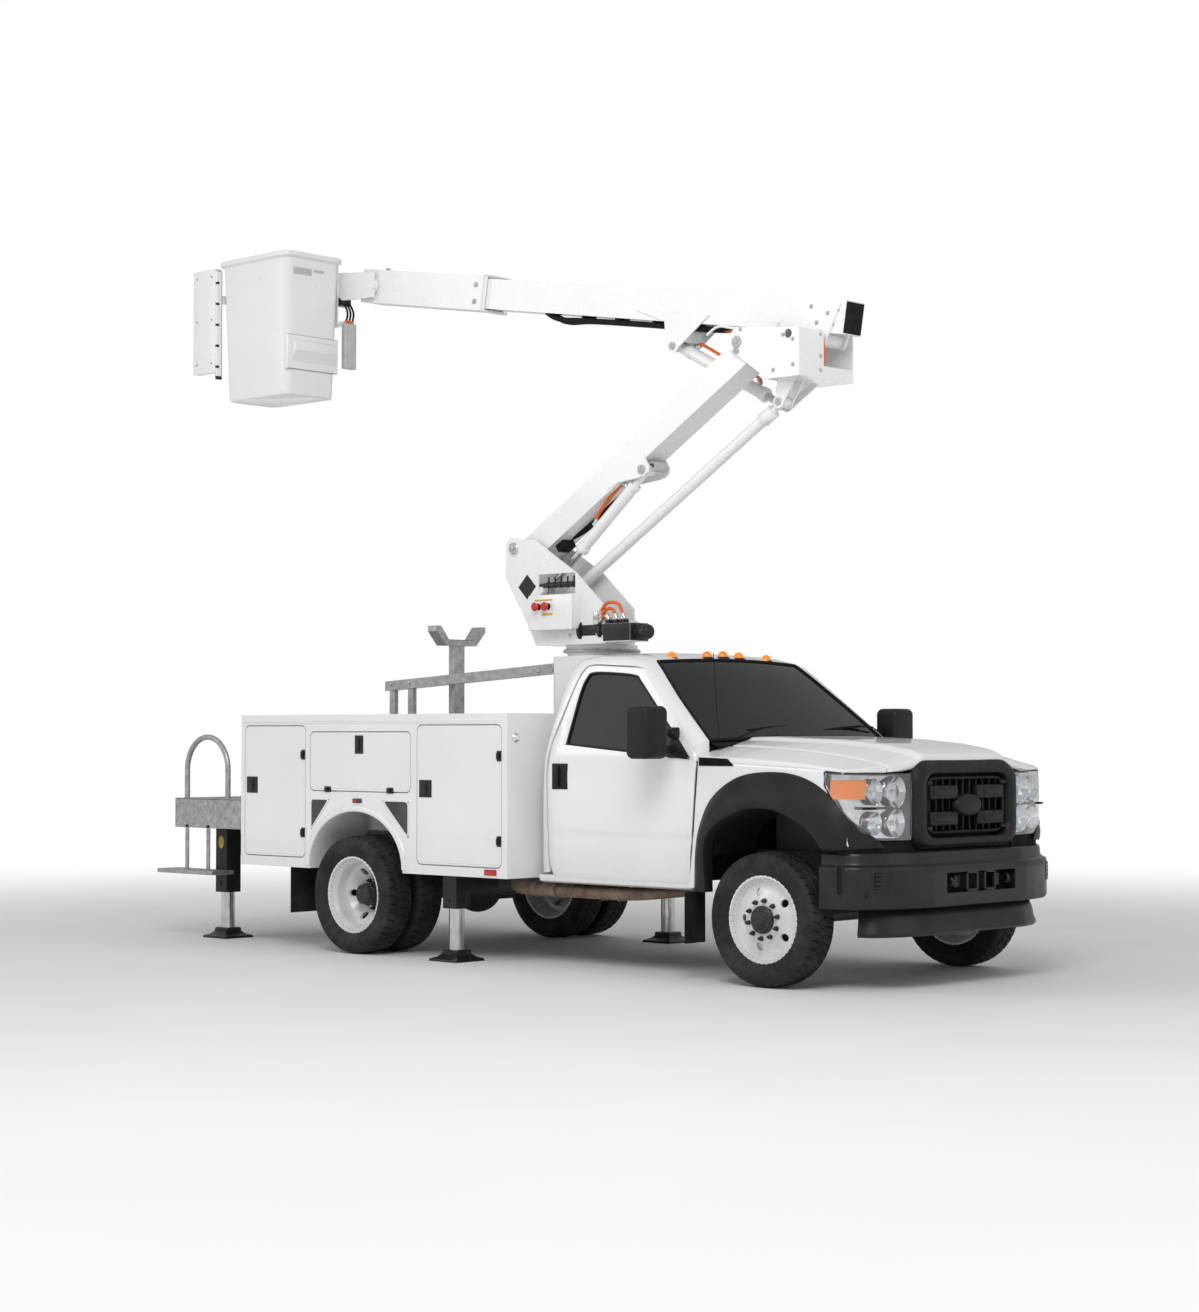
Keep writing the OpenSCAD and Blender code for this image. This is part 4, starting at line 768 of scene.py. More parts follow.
fender_parts, liners, flares, vents = [], [], [], []
opening = np.array([[-.426, .545], [-.426, .76], [-.405, .87], [-.33, .955], [-.20, 1.02],
                    [-.08, 1.055],
                    [.09, 1.055], [.21, 1.02], [.335, .955], [.41, .88], [.437, .83], [.440, .815]])
flare_top = np.array([[-.576, .545], [-.566, .76], [-.535, .93], [-.445, 1.10], [-.28, 1.215],
                      [-.10, 1.262],
                      [.14, 1.264], [.33, 1.215], [.49, 1.115], [.60, .99], [.665, .895],
                      [.690, .836]])
for out in (-1, 1):
    sheet = []
    v, u = np.meshgrid(np.linspace(.727, .984, 26), np.linspace(0, 1, 80), indexing="ij")
    x = -.546 + (nose_plan(v) - .004 + .546) * u
    roll = .016 * (1 - np.sqrt(1 - np.clip((v - .964) / .0201, 0, 1) ** 2))
    z = top_skin(x, v) - roll - .008 * np.exp(-(v - .727) / .005) - .006 * np.exp(-(1 - u) / .008)
    fender_parts.append(shell(carried(np.stack([x, out * v, z], -1)), .012, below))
    lip_y = np.linspace(.727, .984, 40)
    lip_x = nose_plan(lip_y) - .004
    lip_top = top_skin(lip_x, lip_y) - .010
    rows = [np.stack([lip_x - d, out * lip_y, np.maximum(lip_top - h, 1.272 - h * .1)], -1)
            for d, h in ((0, 0), (-.001, .010), (.004, .04), (.02, .045))]
    fender_parts.append(shell(carried(np.stack(rows, 1)), .006, below))
    # outer side: from the top edge down to the wheel opening, behind the flare
    u, v = np.meshgrid(np.linspace(0, 1, 110), np.linspace(0, 1, 60), indexing="ij")
    guess = -.55 + .99 * u
    low = np.interp(guess, np.append(opening[:, 0], [.442, .60]) + np.arange(14) * 1e-6,
                    np.append(opening[:, 1] + .03, [.80, .80]))
    low = np.where(guess < -.43, .56, low)
    high = top_skin(guess, .985) - .012
    z = high - (high - low) * v
    rear = np.interp(z, [.56, .90, 1.322, 1.45], [-.632, -.590, -.552, -.552])
    front = np.interp(z, [.80, .896, 1.068, 1.20, 1.30], [.594, .588, .510, .428, .428])
    x = rear + (front - rear) * u
    crease = .0035 * np.exp(-((z - (1.312 - .045 * (x + .25))) / .0045) ** 2) * step(x + .30, .03)
    y = .985 - crease - .004 * np.exp(-u / .008) - .006 * np.clip((1.0 - z) / .4, 0, 1)
    fender_parts.append(shell(carried(np.stack([x, out * y, z], -1)), .012, below))
    # wheel house
    inner = opening[1:-1] + [0, .006]
    arc = curve_through(inner, 50)
    house = np.stack([np.stack([arc[:, 0], np.full(50, out * w), arc[:, 1]], -1) for w in
                      np.linspace(.60, .985, 8)], 1)
    liners.append(shell(carried(house), .006, below))
    for x in (-.545, .432):
        liners.append(rounded_block(at(x - .012, min(out * .60, out * .98), .72 if x < 0 else .82),
                                    at(x, max(out * .60, out * .98), 1.25), .004))
    # flare
    top, low = curve_through(flare_top, 90), curve_through(opening, 90)
    rows = []
    for t, w in ((0, .984), (0, .9905), (.02, .997), (.10, 1.012), (.25, 1.036), (.42, 1.058),
                 (.60, 1.074),
                 (.78, 1.084), (.92, 1.088), (1.0, 1.086), (1.03, 1.078), (1.03, 1.0)):
        place = top + (low - top) * t
        slim = np.interp(np.linspace(0, 1, 90), [0, .1, .62, .85, 1], [.8, 1, 1, .6, .3])
        wrap = np.interp(place[:, 0], [.50, .555, .606, .650, .700],
                         [0, -.006, -.046, -.122, -.250])
        rows.append(np.stack([place[:, 0], out * (.984 + wrap + (w - .984) * slim), place[:, 1]],
                             -1))
    flares.append(shell(carried(np.stack(rows, 1)), .004, below))
    # vent behind the hood's rear corner
    corner = np.array([[-.540, 1.300], [-.275, 1.300], [-.268, 1.306], [-.315, 1.345],
                       [-.540, 1.352]])
    vents.append(sheet_metal(corner + [axle, 0], 1, out * .984, out * .989))
    for k in range(4):
        z = 1.309 + .010 * k
        vents.append(rounded_block(at(-.532, min(out * .986, out * .993), z),
                                   at(-.300 - .010 * k, max(out * .986, out * .993), z + .004),
                                   .0015))
fender_skin = piece("fender_skins", fender_parts, body_paint, "truck", smooth=40)
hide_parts("fenders")
liners.append(rounded_block(at(.570, -.518, .822), at(.600, .518, 1.298), .006))
piece("wheel_houses", liners, soft_black, "truck", smooth=40)
flare_skin = piece("flare_skins", flares, trim_black, "truck", smooth=40)
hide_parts("wheel_flares")
piece("fender_vents", vents, soft_black, "truck", bevel=.001)

# grille: a thick eight-sided frame with a deep opening, bars and ribs


def eight_sided(half, low, high, cut_low, cut_high, count=96):
    """An outline (y, z) of a box with cut corners, rounded by even sampling."""
    c = np.array([[half, low + cut_low], [half, high - cut_high], [half - cut_high, high],
                  [-half + cut_high, high],
                  [-half, high - cut_high], [-half, low + cut_low], [-half + cut_low, low],
                  [half - cut_low, low]])
    c = np.vstack([c, c[:1]])
    length = np.concatenate([[0], np.cumsum(np.linalg.norm(np.diff(c, axis=0), axis=1))])
    t = np.linspace(0, length[-1], count, endpoint=False)
    ring = np.stack([np.interp(t, length, c[:, k]) for k in (0, 1)], -1)
    for _ in range(3):
        ring = (np.roll(ring, 1, 0) + ring * 2 + np.roll(ring, -1, 0)) / 4
    return ring


outer = eight_sided(.520, .818, 1.362, .055, .085)
inner = eight_sided(.425, .880, 1.262, .050, .050)
section = [(0, .600), (0, .694), (.05, .716), (.16, .737), (.35, .748), (.70, .750), (.90, .746),
           (1, .736),
           (1.02, .668)]
rows = []
for t, x in section:
    ring = outer + (inner - outer) * t
    lean = -.055 * np.clip((ring[:, 1] - 1.24) / .12, 0, 1) ** 1.5
    rows.append(np.stack([axle + x + lean * (x > .65), ring[:, 0], ring[:, 1]], -1))
grille = [grid(np.stack(rows, 1), wrap_u=True)]
frame_line = eight_sided(.392, .910, 1.232, .04, .04)
frame_path = np.column_stack([np.full(96, axle + .712), frame_line])
grille.append(tube(np.vstack([frame_path, frame_path[:2]]), .010, 8, caps=False))
for z in (.992, 1.148):
    for s in (-1, 1):
        lo, hi = sorted((s * .10, s * .372))
        grille.append(rounded_block(at(.690, lo, z - .041), at(.738, hi, z + .041), .012))
        lo, hi = sorted((s * .16, s * .352))
        grille.append(rounded_block(at(.730, lo, z - .020), at(.744, hi, z + .020), .005))
for y in np.linspace(-.34, .34, 11):
    grille.append(rounded_block(at(.668, y - .006, .900), at(.700, y + .006, 1.240), .003))
for sy in (-1, 1):
    for z in (.925, 1.192):
        grille.append(rounded_block(at(.708, min(sy * .35, sy * .40), z),
                                    at(.735, max(sy * .35, sy * .40), z + .024), .006))
oval = revolve([[0, .020], [.085, .018], [.098, .012], [.106, .004], [.108, -.03], [0, -.03]],
               at(.738, 0, 1.07), [1, 0, 0], 48)
oval = (oval[0] * [1, 1.2, .62] + [0, 0, 1.07 * .38], oval[1])
grille.append(oval)
grille_obj = piece("grille_frame", grille, trim_black, "truck", smooth=45)
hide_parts("grille")
right_half = np.array([[.500, .93], [.580, .93], [.630, .84], [.672, .62], [.682, .50]])
apron = np.vstack([right_half, right_half[::-1] * [1, -1]])
piece("grille_backing", [rounded_block(at(.640, -.42, .87), at(.655, .42, 1.27), .004),
                         sheet_metal(apron + [axle, 0], 2, .800, .866)], soft_black, "truck")

# headlamps: clear cover over chrome bowls, with an amber turn lamp outside
lamp_glass, tree, shader, coords = new_material("lamp_glass", IOR=1.46, Transmission_Weight=0.94)
tree.links.new(ramp(tree, noise(tree, coords, 3, 2), (.90, .93, .95), (.97, .98, 1.0)),
               shader.inputs["Base Color"])
tree.links.new(ramp(tree, noise(tree, coords, 8, 4), 0.03, 0.08), shader.inputs["Roughness"])
bump(tree, shader, noise(tree, coords, 14, 2), 0.06, 0.002)
chrome, tree, shader, coords = new_material("chrome", Metallic=1.0)
tree.links.new(ramp(tree, noise(tree, coords, 20, 3), 0.72, 0.86), shader.inputs["Base Color"])
tree.links.new(ramp(tree, noise(tree, coords, 30, 4), 0.06, 0.16), shader.inputs["Roughness"])
bump(tree, shader, noise(tree, coords, 40, 2, (1, 3, 1)), 0.12, 0.001)
plan = curve_through([[.704, .524], [.700, .60], [.690, .70], [.650, .86], [.606, .94],
                      [.555, .983], [.50, .990],
                      [.434, .990]], 44)
lamp_low = np.interp(-plan[:, 0], [-.704, -.604, -.596, -.52, -.43],
                     [.874, .882, .902, 1.072, 1.200])
lamp_top = np.interp(-plan[:, 0], [-.704, -.62, -.43], [1.262, 1.266, 1.274])
covers, bowls, amber, dark = [], [], [], []
for out in (-1, 1):
    t = np.linspace(0, 1, 16)[None]
    z = lamp_low[:, None] + (lamp_top - lamp_low)[:, None] * t
    bulge = .004 * np.sin(np.pi * t)
    covers.append(shell(carried(np.stack([plan[:, :1] + bulge, out * (plan[:, 1:] + 0 * t), z],
                                         -1)), .003, at(.4, 0, 1)))
    back = np.stack([plan[:, :1] - .05 + 0 * t, out * (plan[:, 1:] - .035 + 0 * t),
                     lamp_low[:, None] + .012 +
                     (lamp_top - lamp_low - .024)[:, None] * t], -1)
    bowls.append(shell(carried(back), .004, at(.2, 0, 1)))
    for z, r in ((1.155, .088), (.975, .078)):
        for y, scale in ((.635, 1), (.800, .82)):
            p = np.linspace(0, 1, 14)
            cup = np.column_stack([r * scale * p, -.045 * (1 - p ** 2)])
            cup = np.vstack([cup, [[r * scale * 1.06, .004], [r * scale * 1.06, -.01]]])
            bowls.append(revolve(cup, at(nose_plan(y) - .022, out * y, z), [1, 0, 0], 40))
            bowls.append(revolve([[0, .03], [.012, .028], [.016, .018], [.016, -.02], [0, -.02]],
                                 at(nose_plan(y) - .055, out * y, z), [1, 0, 0], 20))
    lo, hi = sorted((out * .540, out * .900))
    dark.append(rounded_block(at(.600, lo, 1.055), at(.668, hi, 1.068), .004))
    amber_rows = plan[(plan[:, 1] > .865) & (plan[:, 0] > .47)]
    amber_grid = np.stack([np.stack([amber_rows[:, 0] - .012, out * (amber_rows[:, 1] - .010),
                                     np.full(len(amber_rows), z)], -1)
                           for z in np.linspace(1.115, 1.225, 8)], 1)
    amber.append(shell(carried(amber_grid), .012, at(.3, 0, 1)))
    fill = np.stack([np.column_stack([plan[:, 0] - .014, out * (plan[:, 1] - .010),
                                      np.full(44, z)]) for z in (.795, .84, .885)], 1)
    dark.append(shell(carried(fill[:34]), .006, at(.2, 0, 1)))
    edge_line = np.vstack([np.column_stack([plan, lamp_low]),
                           np.column_stack([plan, lamp_top])[::-1]])
    edge_line = np.vstack([edge_line, edge_line[:1]]) * [1, out, 1]
    dark.append(tube(carried(edge_line - [.006, 0, 0]), .004, 6))
cover = piece("lamp_covers", covers, lamp_glass, "truck", smooth=60)
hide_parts("headlamps")
piece("lamp_bowls", bowls, chrome, "truck", smooth=50)
piece("turn_lamps", amber, amber_lens, "truck", smooth=50)
piece("lamp_seals", dark, soft_black, "truck")

# bumper: pressed steel beam with a step on top, openings for hooks, and a valance
beam_half = np.array([[.833, 0], [.833, .35], [.833, .46], [.826, .52], [.805, .63], [.768, .765],
                      [.715, .865],
                      [.650, .952], [.560, 1.005], [.432, 1.046]])
beam = curve_through(beam_half[1:], 60)
beam = np.vstack([np.linspace(beam_half[0], beam[0], 14)[:-1], beam])
beam = np.vstack([beam[::-1] * [1, -1], beam[1:]])


def along_beam(points, profile, shift=0.0):
    """A profile of (setback, z) carried round a plan outline of (x, y)."""
    tangent = np.gradient(points, axis=0)
    normal = np.stack([-tangent[:, 1], tangent[:, 0]], -1)
    normal /= np.linalg.norm(normal, axis=1, keepdims=True)
    normal *= np.sign(normal[:, :1].sum()) * -1
    profile = np.asarray(profile, float)
    xy = points[:, None] + normal[:, None] * profile[None, :, :1]
    return carried(np.concatenate([xy, np.broadcast_to(profile[None, :, 1:], (*xy.shape[:2], 1))],
                                  -1))


profile_low = [[.060, .482], [.018, .480], [.006, .486], [.001, .500], [0, .530], [0, .560]]
profile_mid = [[0, .560], [0, .60], [0, .64], [0, .680]]
profile_top = [[0, .680], [.001, .712], [.006, .724], [.020, .731], [.034, .738], [.040, .752],
               [.042, .786],
               [.048, .800], [.062, .806], [.105, .806]]
inside = at(.2, 0, .6)
steel = [shell(along_beam(beam, profile_low), .004, inside), shell(along_beam(beam, profile_top),
        .004, inside)]
for part in (beam[beam[:, 1] <= -.3499], beam[beam[:, 1] >= .3499]):
    steel.append(shell(along_beam(part, profile_mid), .004, inside))
valance = np.array([[.770, 0], [.770, .46], [.745, .62], [.700, .74], [.640, .815], [.562, .852]])
valance = curve_through(valance, 40)
valance = np.vstack([valance[::-1] * [1, -1], valance[1:]])
steel.append(shell(along_beam(valance, [[.055, .484], [.030, .470], [.010, .425], [0, .372],
                                        [-.012, .345], [-.014, .330],
                                        [-.004, .316], [.030, .312]]), .005, inside))
# recess behind the openings, hooks, plate brackets
hollow = [rounded_block(at(.745, -.372, .548), at(.757, .372, .692), .003)]
for s in (-1, 1):
    for z0, z1 in ((.548, .560), (.680, .692)):
        hollow.append(rounded_block(at(.750, -.372, z0), at(.828, .372, z1), .003))
    hollow.append(rounded_block(at(.750, min(s * .350, s * .362), .550),
                                at(.828, max(s * .350, s * .362), .690), .003))
    hook = curve_through([at(.765, s * .285, .600), at(.800, s * .285, .600),
                          at(.822, s * .285, .612), at(.822, s * .285, .636),
                          at(.800, s * .285, .650), at(.775, s * .285, .650)], 20)
    steel.append(tube(hook, .012, 10))
    lo, hi = sorted((s * .030, s * .150))
    for y0, y1, z0, z1 in ((lo, hi, .560, .578), (lo, hi, .668, .686), (lo, lo + .016, .560, .686),
                           (hi - .016, hi, .560, .686)):
        steel.append(rounded_block(at(.812, y0, z0), at(.832, y1, z1), .003))
    steel.append(rounded_block(at(.76, min(s * .17, s * .23), .585),
                               at(.80, max(s * .17, s * .23), .660), .006))
    # louvred corner pockets and the slot beside the wheel
    for y, w, z0, z1, bars in ((.835, .062, .590, .700, 4), (1.008, .020, .560, .745, 0)):
        x = np.interp(y, beam_half[:, 1], beam_half[:, 0])
        slope = np.array([np.interp(y + .02, beam_half[:, 1], beam_half[:, 0]) - np.interp(y - .02,
                beam_half[:, 1], beam_half[:, 0]), .04])
        angle = math.atan2(-slope[0], slope[1])
        c, n = math.cos(angle), math.sin(angle)
        spin = np.array([[c, -n * s, 0], [n * s, c, 0], [0, 0, 1]])
        mid = at(x, s * y, (z0 + z1) / 2)
        h = (z1 - z0) / 2
        ring = eight_sided(w, -h, h, .012, .012, 48)
        path = np.column_stack([np.full(48, 0.0), ring])
        steel.append(tube((np.vstack([path, path[:2]]) @ spin.T) + mid, .0055, 8, caps=False))
        hollow.append(turned(rounded_block(mid - [.003, w - .004, h - .004],
                                           mid + [.0015, w - .004, h - .004], .001), spin, mid))
        for k in range(bars):
            z = mid[2] - h + (k + .7) * 2 * h / (bars + .4)
            steel.append(turned(rounded_block([mid[0] - .002, mid[1] - w * .78, z - .007],
                                              [mid[0] + .005, mid[1] + w * .78, z + .007], .003),
                                spin, mid))
satin_black, tree, shader, coords = new_material("satin_black", Specular_IOR_Level=0.3,
                                                 Coat_Weight=0.06, Coat_Roughness=0.25)
tree.links.new(ramp(tree, noise(tree, coords, 5, 5), 0.012, 0.022), shader.inputs["Base Color"])
tree.links.new(ramp(tree, noise(tree, coords, 10, 4), 0.28, 0.42), shader.inputs["Roughness"])
bump(tree, shader, noise(tree, coords, 600, 2), 0.2, 0.0004)
bumper = piece("bumper_beam", steel, satin_black, "truck", smooth=40)
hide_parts("front_bumper")
piece("bumper_recess", hollow, soft_black, "truck", smooth=40)

# ------------------------------------------------------------------ cab interior
# Moulded dash with a steering wheel, two cloth seats with head rests, and a mirror that
# hangs from the windscreen. All of it is seen only as shapes through dark glass.

dress(soft_black, "dashboard", edge=.010)
seat_cloth, tree, shader, coords = new_material("seat_cloth", Sheen_Weight=0.3)
tree.links.new(ramp(tree, noise(tree, coords, 140, 3), 0.035, 0.075), shader.inputs["Base Color"])
tree.links.new(ramp(tree, noise(tree, coords, 60, 3), 0.8, 0.95), shader.inputs["Roughness"])
bump(tree, shader, noise(tree, coords, 700, 2, (1, 1, 3)), 0.6, 0.0008)


def cushion(lo, hi, crown, axis):
    """A closed cage, swollen in its middle along one axis, for the subdivision to round."""
    lo, hi = np.asarray(lo, float), np.asarray(hi, float)
    k = np.array([0, .12, .5, .88, 1.0])
    index, points = {}, []
    faces = []
    for i in range(5):
        for j in range(5):
            for m in range(5):
                if 0 in (i, j, m) or 4 in (i, j, m):
                    q = np.array([k[i], k[j], k[m]])
                    others = [n for n in range(3) if n != axis]
                    swell = crown * np.prod(1 - (2 * q[others] - 1) ** 2) * (2 * q[axis] - 1)
                    place = lo + (hi - lo) * q
                    place[axis] += swell
                    index[i, j, m] = len(points)
                    points.append(place)
    for a in range(4):
        for b in range(4):
            for f in (0, 4):
                for order in ((0, 1, 2), (1, 2, 0), (2, 0, 1)):
                    quad = []
                    for da, db in ((0, 0), (1, 0), (1, 1), (0, 1)):
                        key = [0, 0, 0]
                        key[order[0]], key[order[1]], key[order[2]] = a + da, b + db, f
                        quad.append(index[tuple(key)])
                    faces.append(quad)
    return np.array(points), faces


def leaned(part, centre, angle):
    """A part leaned backwards round the Y line through centre."""
    c, n = math.cos(angle), math.sin(angle)
    return turned(part, [[c, 0, -n], [0, 1, 0], [n, 0, c]], centre)


for k, y in enumerate((-.43, .43)):
    name = ("right", "left")[k]
    parts = [cushion(at(-1.735, y - .265, .905), at(-1.19, y + .265, 1.045), .025, 2),
             leaned(cushion(at(-1.725, y - .255, 1.03), at(-1.60, y + .255, 1.58), .022, 0),
                    at(-1.70, y, 1.04), .14),
             leaned(cushion(at(-1.735, y - .135, 1.60), at(-1.655, y + .135, 1.765), .012, 0),
                    at(-1.70, y, 1.60), .08)]
    for part, label in zip(parts, ("cushion", "back", "head_rest")):
        seat = piece(name + "_seat_" + label, [part], seat_cloth, "truck", smooth=80, subdiv=2)
    if k == 0:
        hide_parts("seats")
frames = []
for y in (-.43, .43):
    frames.append(rounded_block(at(-1.68, y - .20, .84), at(-1.28, y + .20, .905), .02))
    frames += [tube([at(-1.705, y + v, 1.53), at(-1.703, y + v, 1.62)], .008, 8) for v in (-.06,
            .06)]
frames.append(rounded_block(at(-.905, -.12, 1.66), at(-.880, .12, 1.725), .011))
frames.append(tube([at(-.885, 0, 1.72), at(-.865, 0, 1.735)], .012, 10))
wheel_c, tilt = np.array([-1.130, .40, 1.306]), math.radians(62)
turn = np.linspace(0, 2 * np.pi, 65)
ring_u, ring_v = np.array([math.cos(tilt), 0, math.sin(tilt)]), np.array([0, 1.0, 0])
wheel_path = wheel_c + .180 * (np.cos(turn)[:, None] * ring_u + np.sin(turn)[:, None] * ring_v)
frames.append(tube(carried(wheel_path), .0165, 10, caps=False))
piece("seat_frames", frames, soft_black, "truck", smooth=50)

# ------------------------------------------------------------------ service body
# Folded and welded sheet steel boxes in white enamel, bolted to the frame. Rounded hatches
# with black paddle latches and cap hinges; rolled lips round the wheel arches.

dress(body_paint, "service_body", edge=.003)
lids = {"rear": (-4.653, -3.991, .640, 1.549), "middle": (-3.937, -2.907, 1.104, 1.506),
        "front": (-2.842, -2.042, .634, 1.551)}


def round_rect(x0, x1, z0, z1, r, steps=8):
    """Outline of a rectangle with quarter-circle corners, one corner after another."""
    a = np.linspace(0, np.pi / 2, steps)
    corners = [(x1 - r, z1 - r, 0), (x0 + r, z1 - r, 1), (x0 + r, z0 + r, 2), (x1 - r, z0 + r, 3)]
    return np.vstack([np.column_stack([cx + r * np.cos(a + q * np.pi / 2),
                                       cz + r * np.sin(a + q * np.pi / 2)])
                      for cx, cz, q in corners])


lamp_red, tree, shader, coords = new_material("lamp_red", IOR=1.49, Transmission_Weight=0.3,
                                              Coat_Weight=0.5)
tree.links.new(ramp(tree, noise(tree, coords, 30, 3), (0.55, 0.006, 0.004), (0.72, 0.012, 0.008)),
               shader.inputs["Base Color"])
tree.links.new(ramp(tree, noise(tree, coords, 25, 3), 0.12, 0.25), shader.inputs["Roughness"])
bump(tree, shader, noise(tree, coords, 300, 1, (6, 6, 1)), 0.5, 0.001)
# dark grey: painted shade in the pockets beside the arch, and the own colour of the lamp housing and the rear
# lamp bezels
painted_shade_and_bezel_grey, tree, shader, coords = new_material("painted_shade_and_bezel_grey", Specular_IOR_Level=0.3)
tree.links.new(ramp(tree, noise(tree, coords, 9, 4), 0.05, 0.085), shader.inputs["Base Color"])
tree.links.new(ramp(tree, noise(tree, coords, 14, 4), 0.5, 0.7), shader.inputs["Roughness"])
bump(tree, shader, noise(tree, coords, 200, 3), 0.2, 0.0005)
corners, shade_pockets_and_bezels, body_red = [], [], []


def latch(x, z, out, wide, tall):
    """A paddle latch: a dished black plate with a lifting paddle and a lock."""
    y = 1.194
    lo, hi = sorted((out * (y - .001), out * (y + .006)))
    parts = [rounded_block(at(x - wide / 2, lo, z - tall / 2), at(x + wide / 2, hi, z + tall / 2),
                           .003)]
    lo, hi = sorted((out * (y + .004), out * (y + .015)))
    parts.append(rounded_block(at(x - wide * .30, lo, z - tall * .36),
                               at(x + wide * .12, hi, z + tall * .36), .005))
    parts.append(revolve([[0, .004], [.007, .004], [.008, 0], [0, 0]],
                         at(x + wide * .30, out * (y + .006), z), [0, out, 0], 16))
    return parts


def cap_hinge(x, z, out, upright):
    """A hinge: two leaves and a domed cap."""
    lo, hi = sorted((out * 1.193, out * 1.199))
    a, b = (.020, .034) if upright else (.034, .020)
    parts = [rounded_block(at(x - b, lo, z - a), at(x + b, hi, z + a), .003)]
    lo, hi = sorted((out * 1.197, out * 1.216))
    parts.append(rounded_block(at(x - b * .62, lo, z - a * .72), at(x + b * .30, hi, z + a * .72),
                               .008))
    return parts


for side, out in (("right", -1), ("left", 1)):
    for name, (x0, x1, z0, z1) in lids.items():
        y0, y1 = sorted((out * 1.166, out * 1.194))
        panel = sheet_metal(round_rect(x0 + .002, x1 - .002, z0 + .002, z1 - .002, .042) + [axle,
                0], 1, y0, y1)
        inset_y = sorted((out * 1.1935, out * 1.1960))
        field = sheet_metal(round_rect(x0 + .016, x1 - .016, z0 + .016, z1 - .016, .034) + [axle,
                0], 1, *inset_y)
        skin = piece(side + "_" + name + "_lid_skin", [panel, field], body_paint,
                     side + "_" + name + "_hatch", bevel=.0015)
        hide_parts(side + "_" + name + "_lid")
        if name == "middle":
            gear = latch((x0 + x1) / 2, z1 - .085, out, .085, .125)
            gear += cap_hinge(x0 + .19, z0 + .01, out, True) + cap_hinge(x1 - .20, z0 + .01, out,
                    True)
        else:
            gear = latch(x0 + .085, (z0 + z1) / 2 + .04, out, .12, .115)
            gear += cap_hinge(x1 - .02, z0 + .17, out, False) + cap_hinge(x1 - .02, z1 - .20, out,
                    False)
        piece(side + "_" + name + "_latch", gear, satin_black, side + "_" + name + "_hatch",
              smooth=40)
        # fillets that round the corners of the opening
        y0, y1 = sorted((out * 1.160, out * 1.1935))
        a = np.linspace(0, np.pi / 2, 9)
        for cx, cz, sx, sz in ((x0, z0, -1, -1), (x1, z0, 1, -1), (x0, z1, -1, 1), (x1, z1, 1, 1)):
            g, r = .0052, .046
            arc = np.column_stack([cx + sx * (g - r) + sx * r * np.cos(a),
                                   cz + sz * (g - r) + sz * r * np.sin(a)])
            tip = np.array([[cx + sx * (g + .001), cz + sz * (g + .001)]])
            corners.append(sheet_metal(np.vstack([arc, tip]) + [axle, 0], 1, y0, y1))
    # gutter over the hatches, rolled arch lip, and the small pockets beside the arch drawn as flat dark grey
    # plates, painted shade for their recess
    for z in (1.570, 1.5815):
        corners.append(tube([at(-4.66, out * 1.194, z), at(-2.03, out * 1.194, z)], .004, 8))
    turn = np.linspace(0, np.pi, 60)
    lip = []
    for r, w in ((.520, 1.1935), (.516, 1.202), (.505, 1.208), (.490, 1.209), (.478, 1.205),
                 (.4745, 1.198), (.4745, 1.150)):
        lip.append(np.column_stack([-3.46 + r * np.cos(turn), np.full(60, out * w),
                                    .590 + (r - .099) * np.sin(turn)]))
    corners.append(shell(carried(np.stack(lip, 1)), .003, at(-3.46, 0, .59)))
    for pocket in ([[-3.925, 1.045], [-3.735, 1.045], [-3.925, .835]],
                   [[-3.185, 1.045], [-2.925, 1.045], [-2.925, .800]]):
        pocket = np.array(pocket)
        y0, y1 = sorted((out * 1.1930, out * 1.1955))
        shade_pockets_and_bezels.append(sheet_metal(pocket + [axle, 0], 1, y0, y1))
        ring = np.column_stack([pocket[:, 0], np.full(3, out * 1.196), pocket[:, 1]])
        ring = np.vstack([np.linspace(ring[k], ring[(k + 1) % 3], 12)[:-1] for k in range(3)])
        for _ in range(2):
            ring = (np.roll(ring, 1, 0) + 2 * ring + np.roll(ring, -1, 0)) / 4
        corners.append(tube(carried(np.vstack([ring, ring[:2]])), .0055, 8, caps=False))
    # the lamp housing here and the rear lamp bezels below are dark grey in their own right
    lo, hi = sorted((out * 1.193, out * 1.203))
    shade_pockets_and_bezels.append(rounded_block(at(-3.485, lo, 1.025), at(-3.395, hi, 1.055), .004))
    body_red.append(rounded_block(at(-3.475, min(out * 1.198, out * 1.208), 1.031),
                                  at(-3.435, max(out * 1.198, out * 1.208), 1.049), .004))
    body_red.append(rounded_block(at(-2.195, lo, .583), at(-2.085, hi, .622), .005))
    for z in (.74, .86):
        body_red.append(revolve([[0, .012], [.040, .010], [.050, .004], [.052, -.01], [0, -.01]],
                                at(-4.699, out * 1.085, z), [-1, 0, 0], 32))
        shade_pockets_and_bezels.append(revolve([[.050, .003], [.062, .003], [.063, -.004], [.050, -.004]],
                               at(-4.700, out * 1.085, z), [-1, 0, 0], 32))
piece("body_lips", corners, body_paint, "truck", smooth=40)
piece("body_pocket_shade_and_bezels", shade_pockets_and_bezels, painted_shade_and_bezel_grey, "truck", bevel=.001)
piece("body_lamps", body_red, lamp_red, "truck", smooth=50)
key_gear = [revolve([[0, .014], [.016, .014], [.020, .010], [.026, .006], [.030, 0], [0, 0]],
                    at(-1.986, s * 1.12, 1.47), [1, 0, 0], 24)
            for s in (-1, 1)]
piece("filler_caps", key_gear, chrome, "truck", smooth=40)

# ------------------------------------------------------------------ tail, flaps and outriggers
# Galvanised tail shelf with a raised diamond pattern, grab loop and hanging step, rubber
# mud flaps, and hydraulic legs with black housings, polished rods and black foot pads.

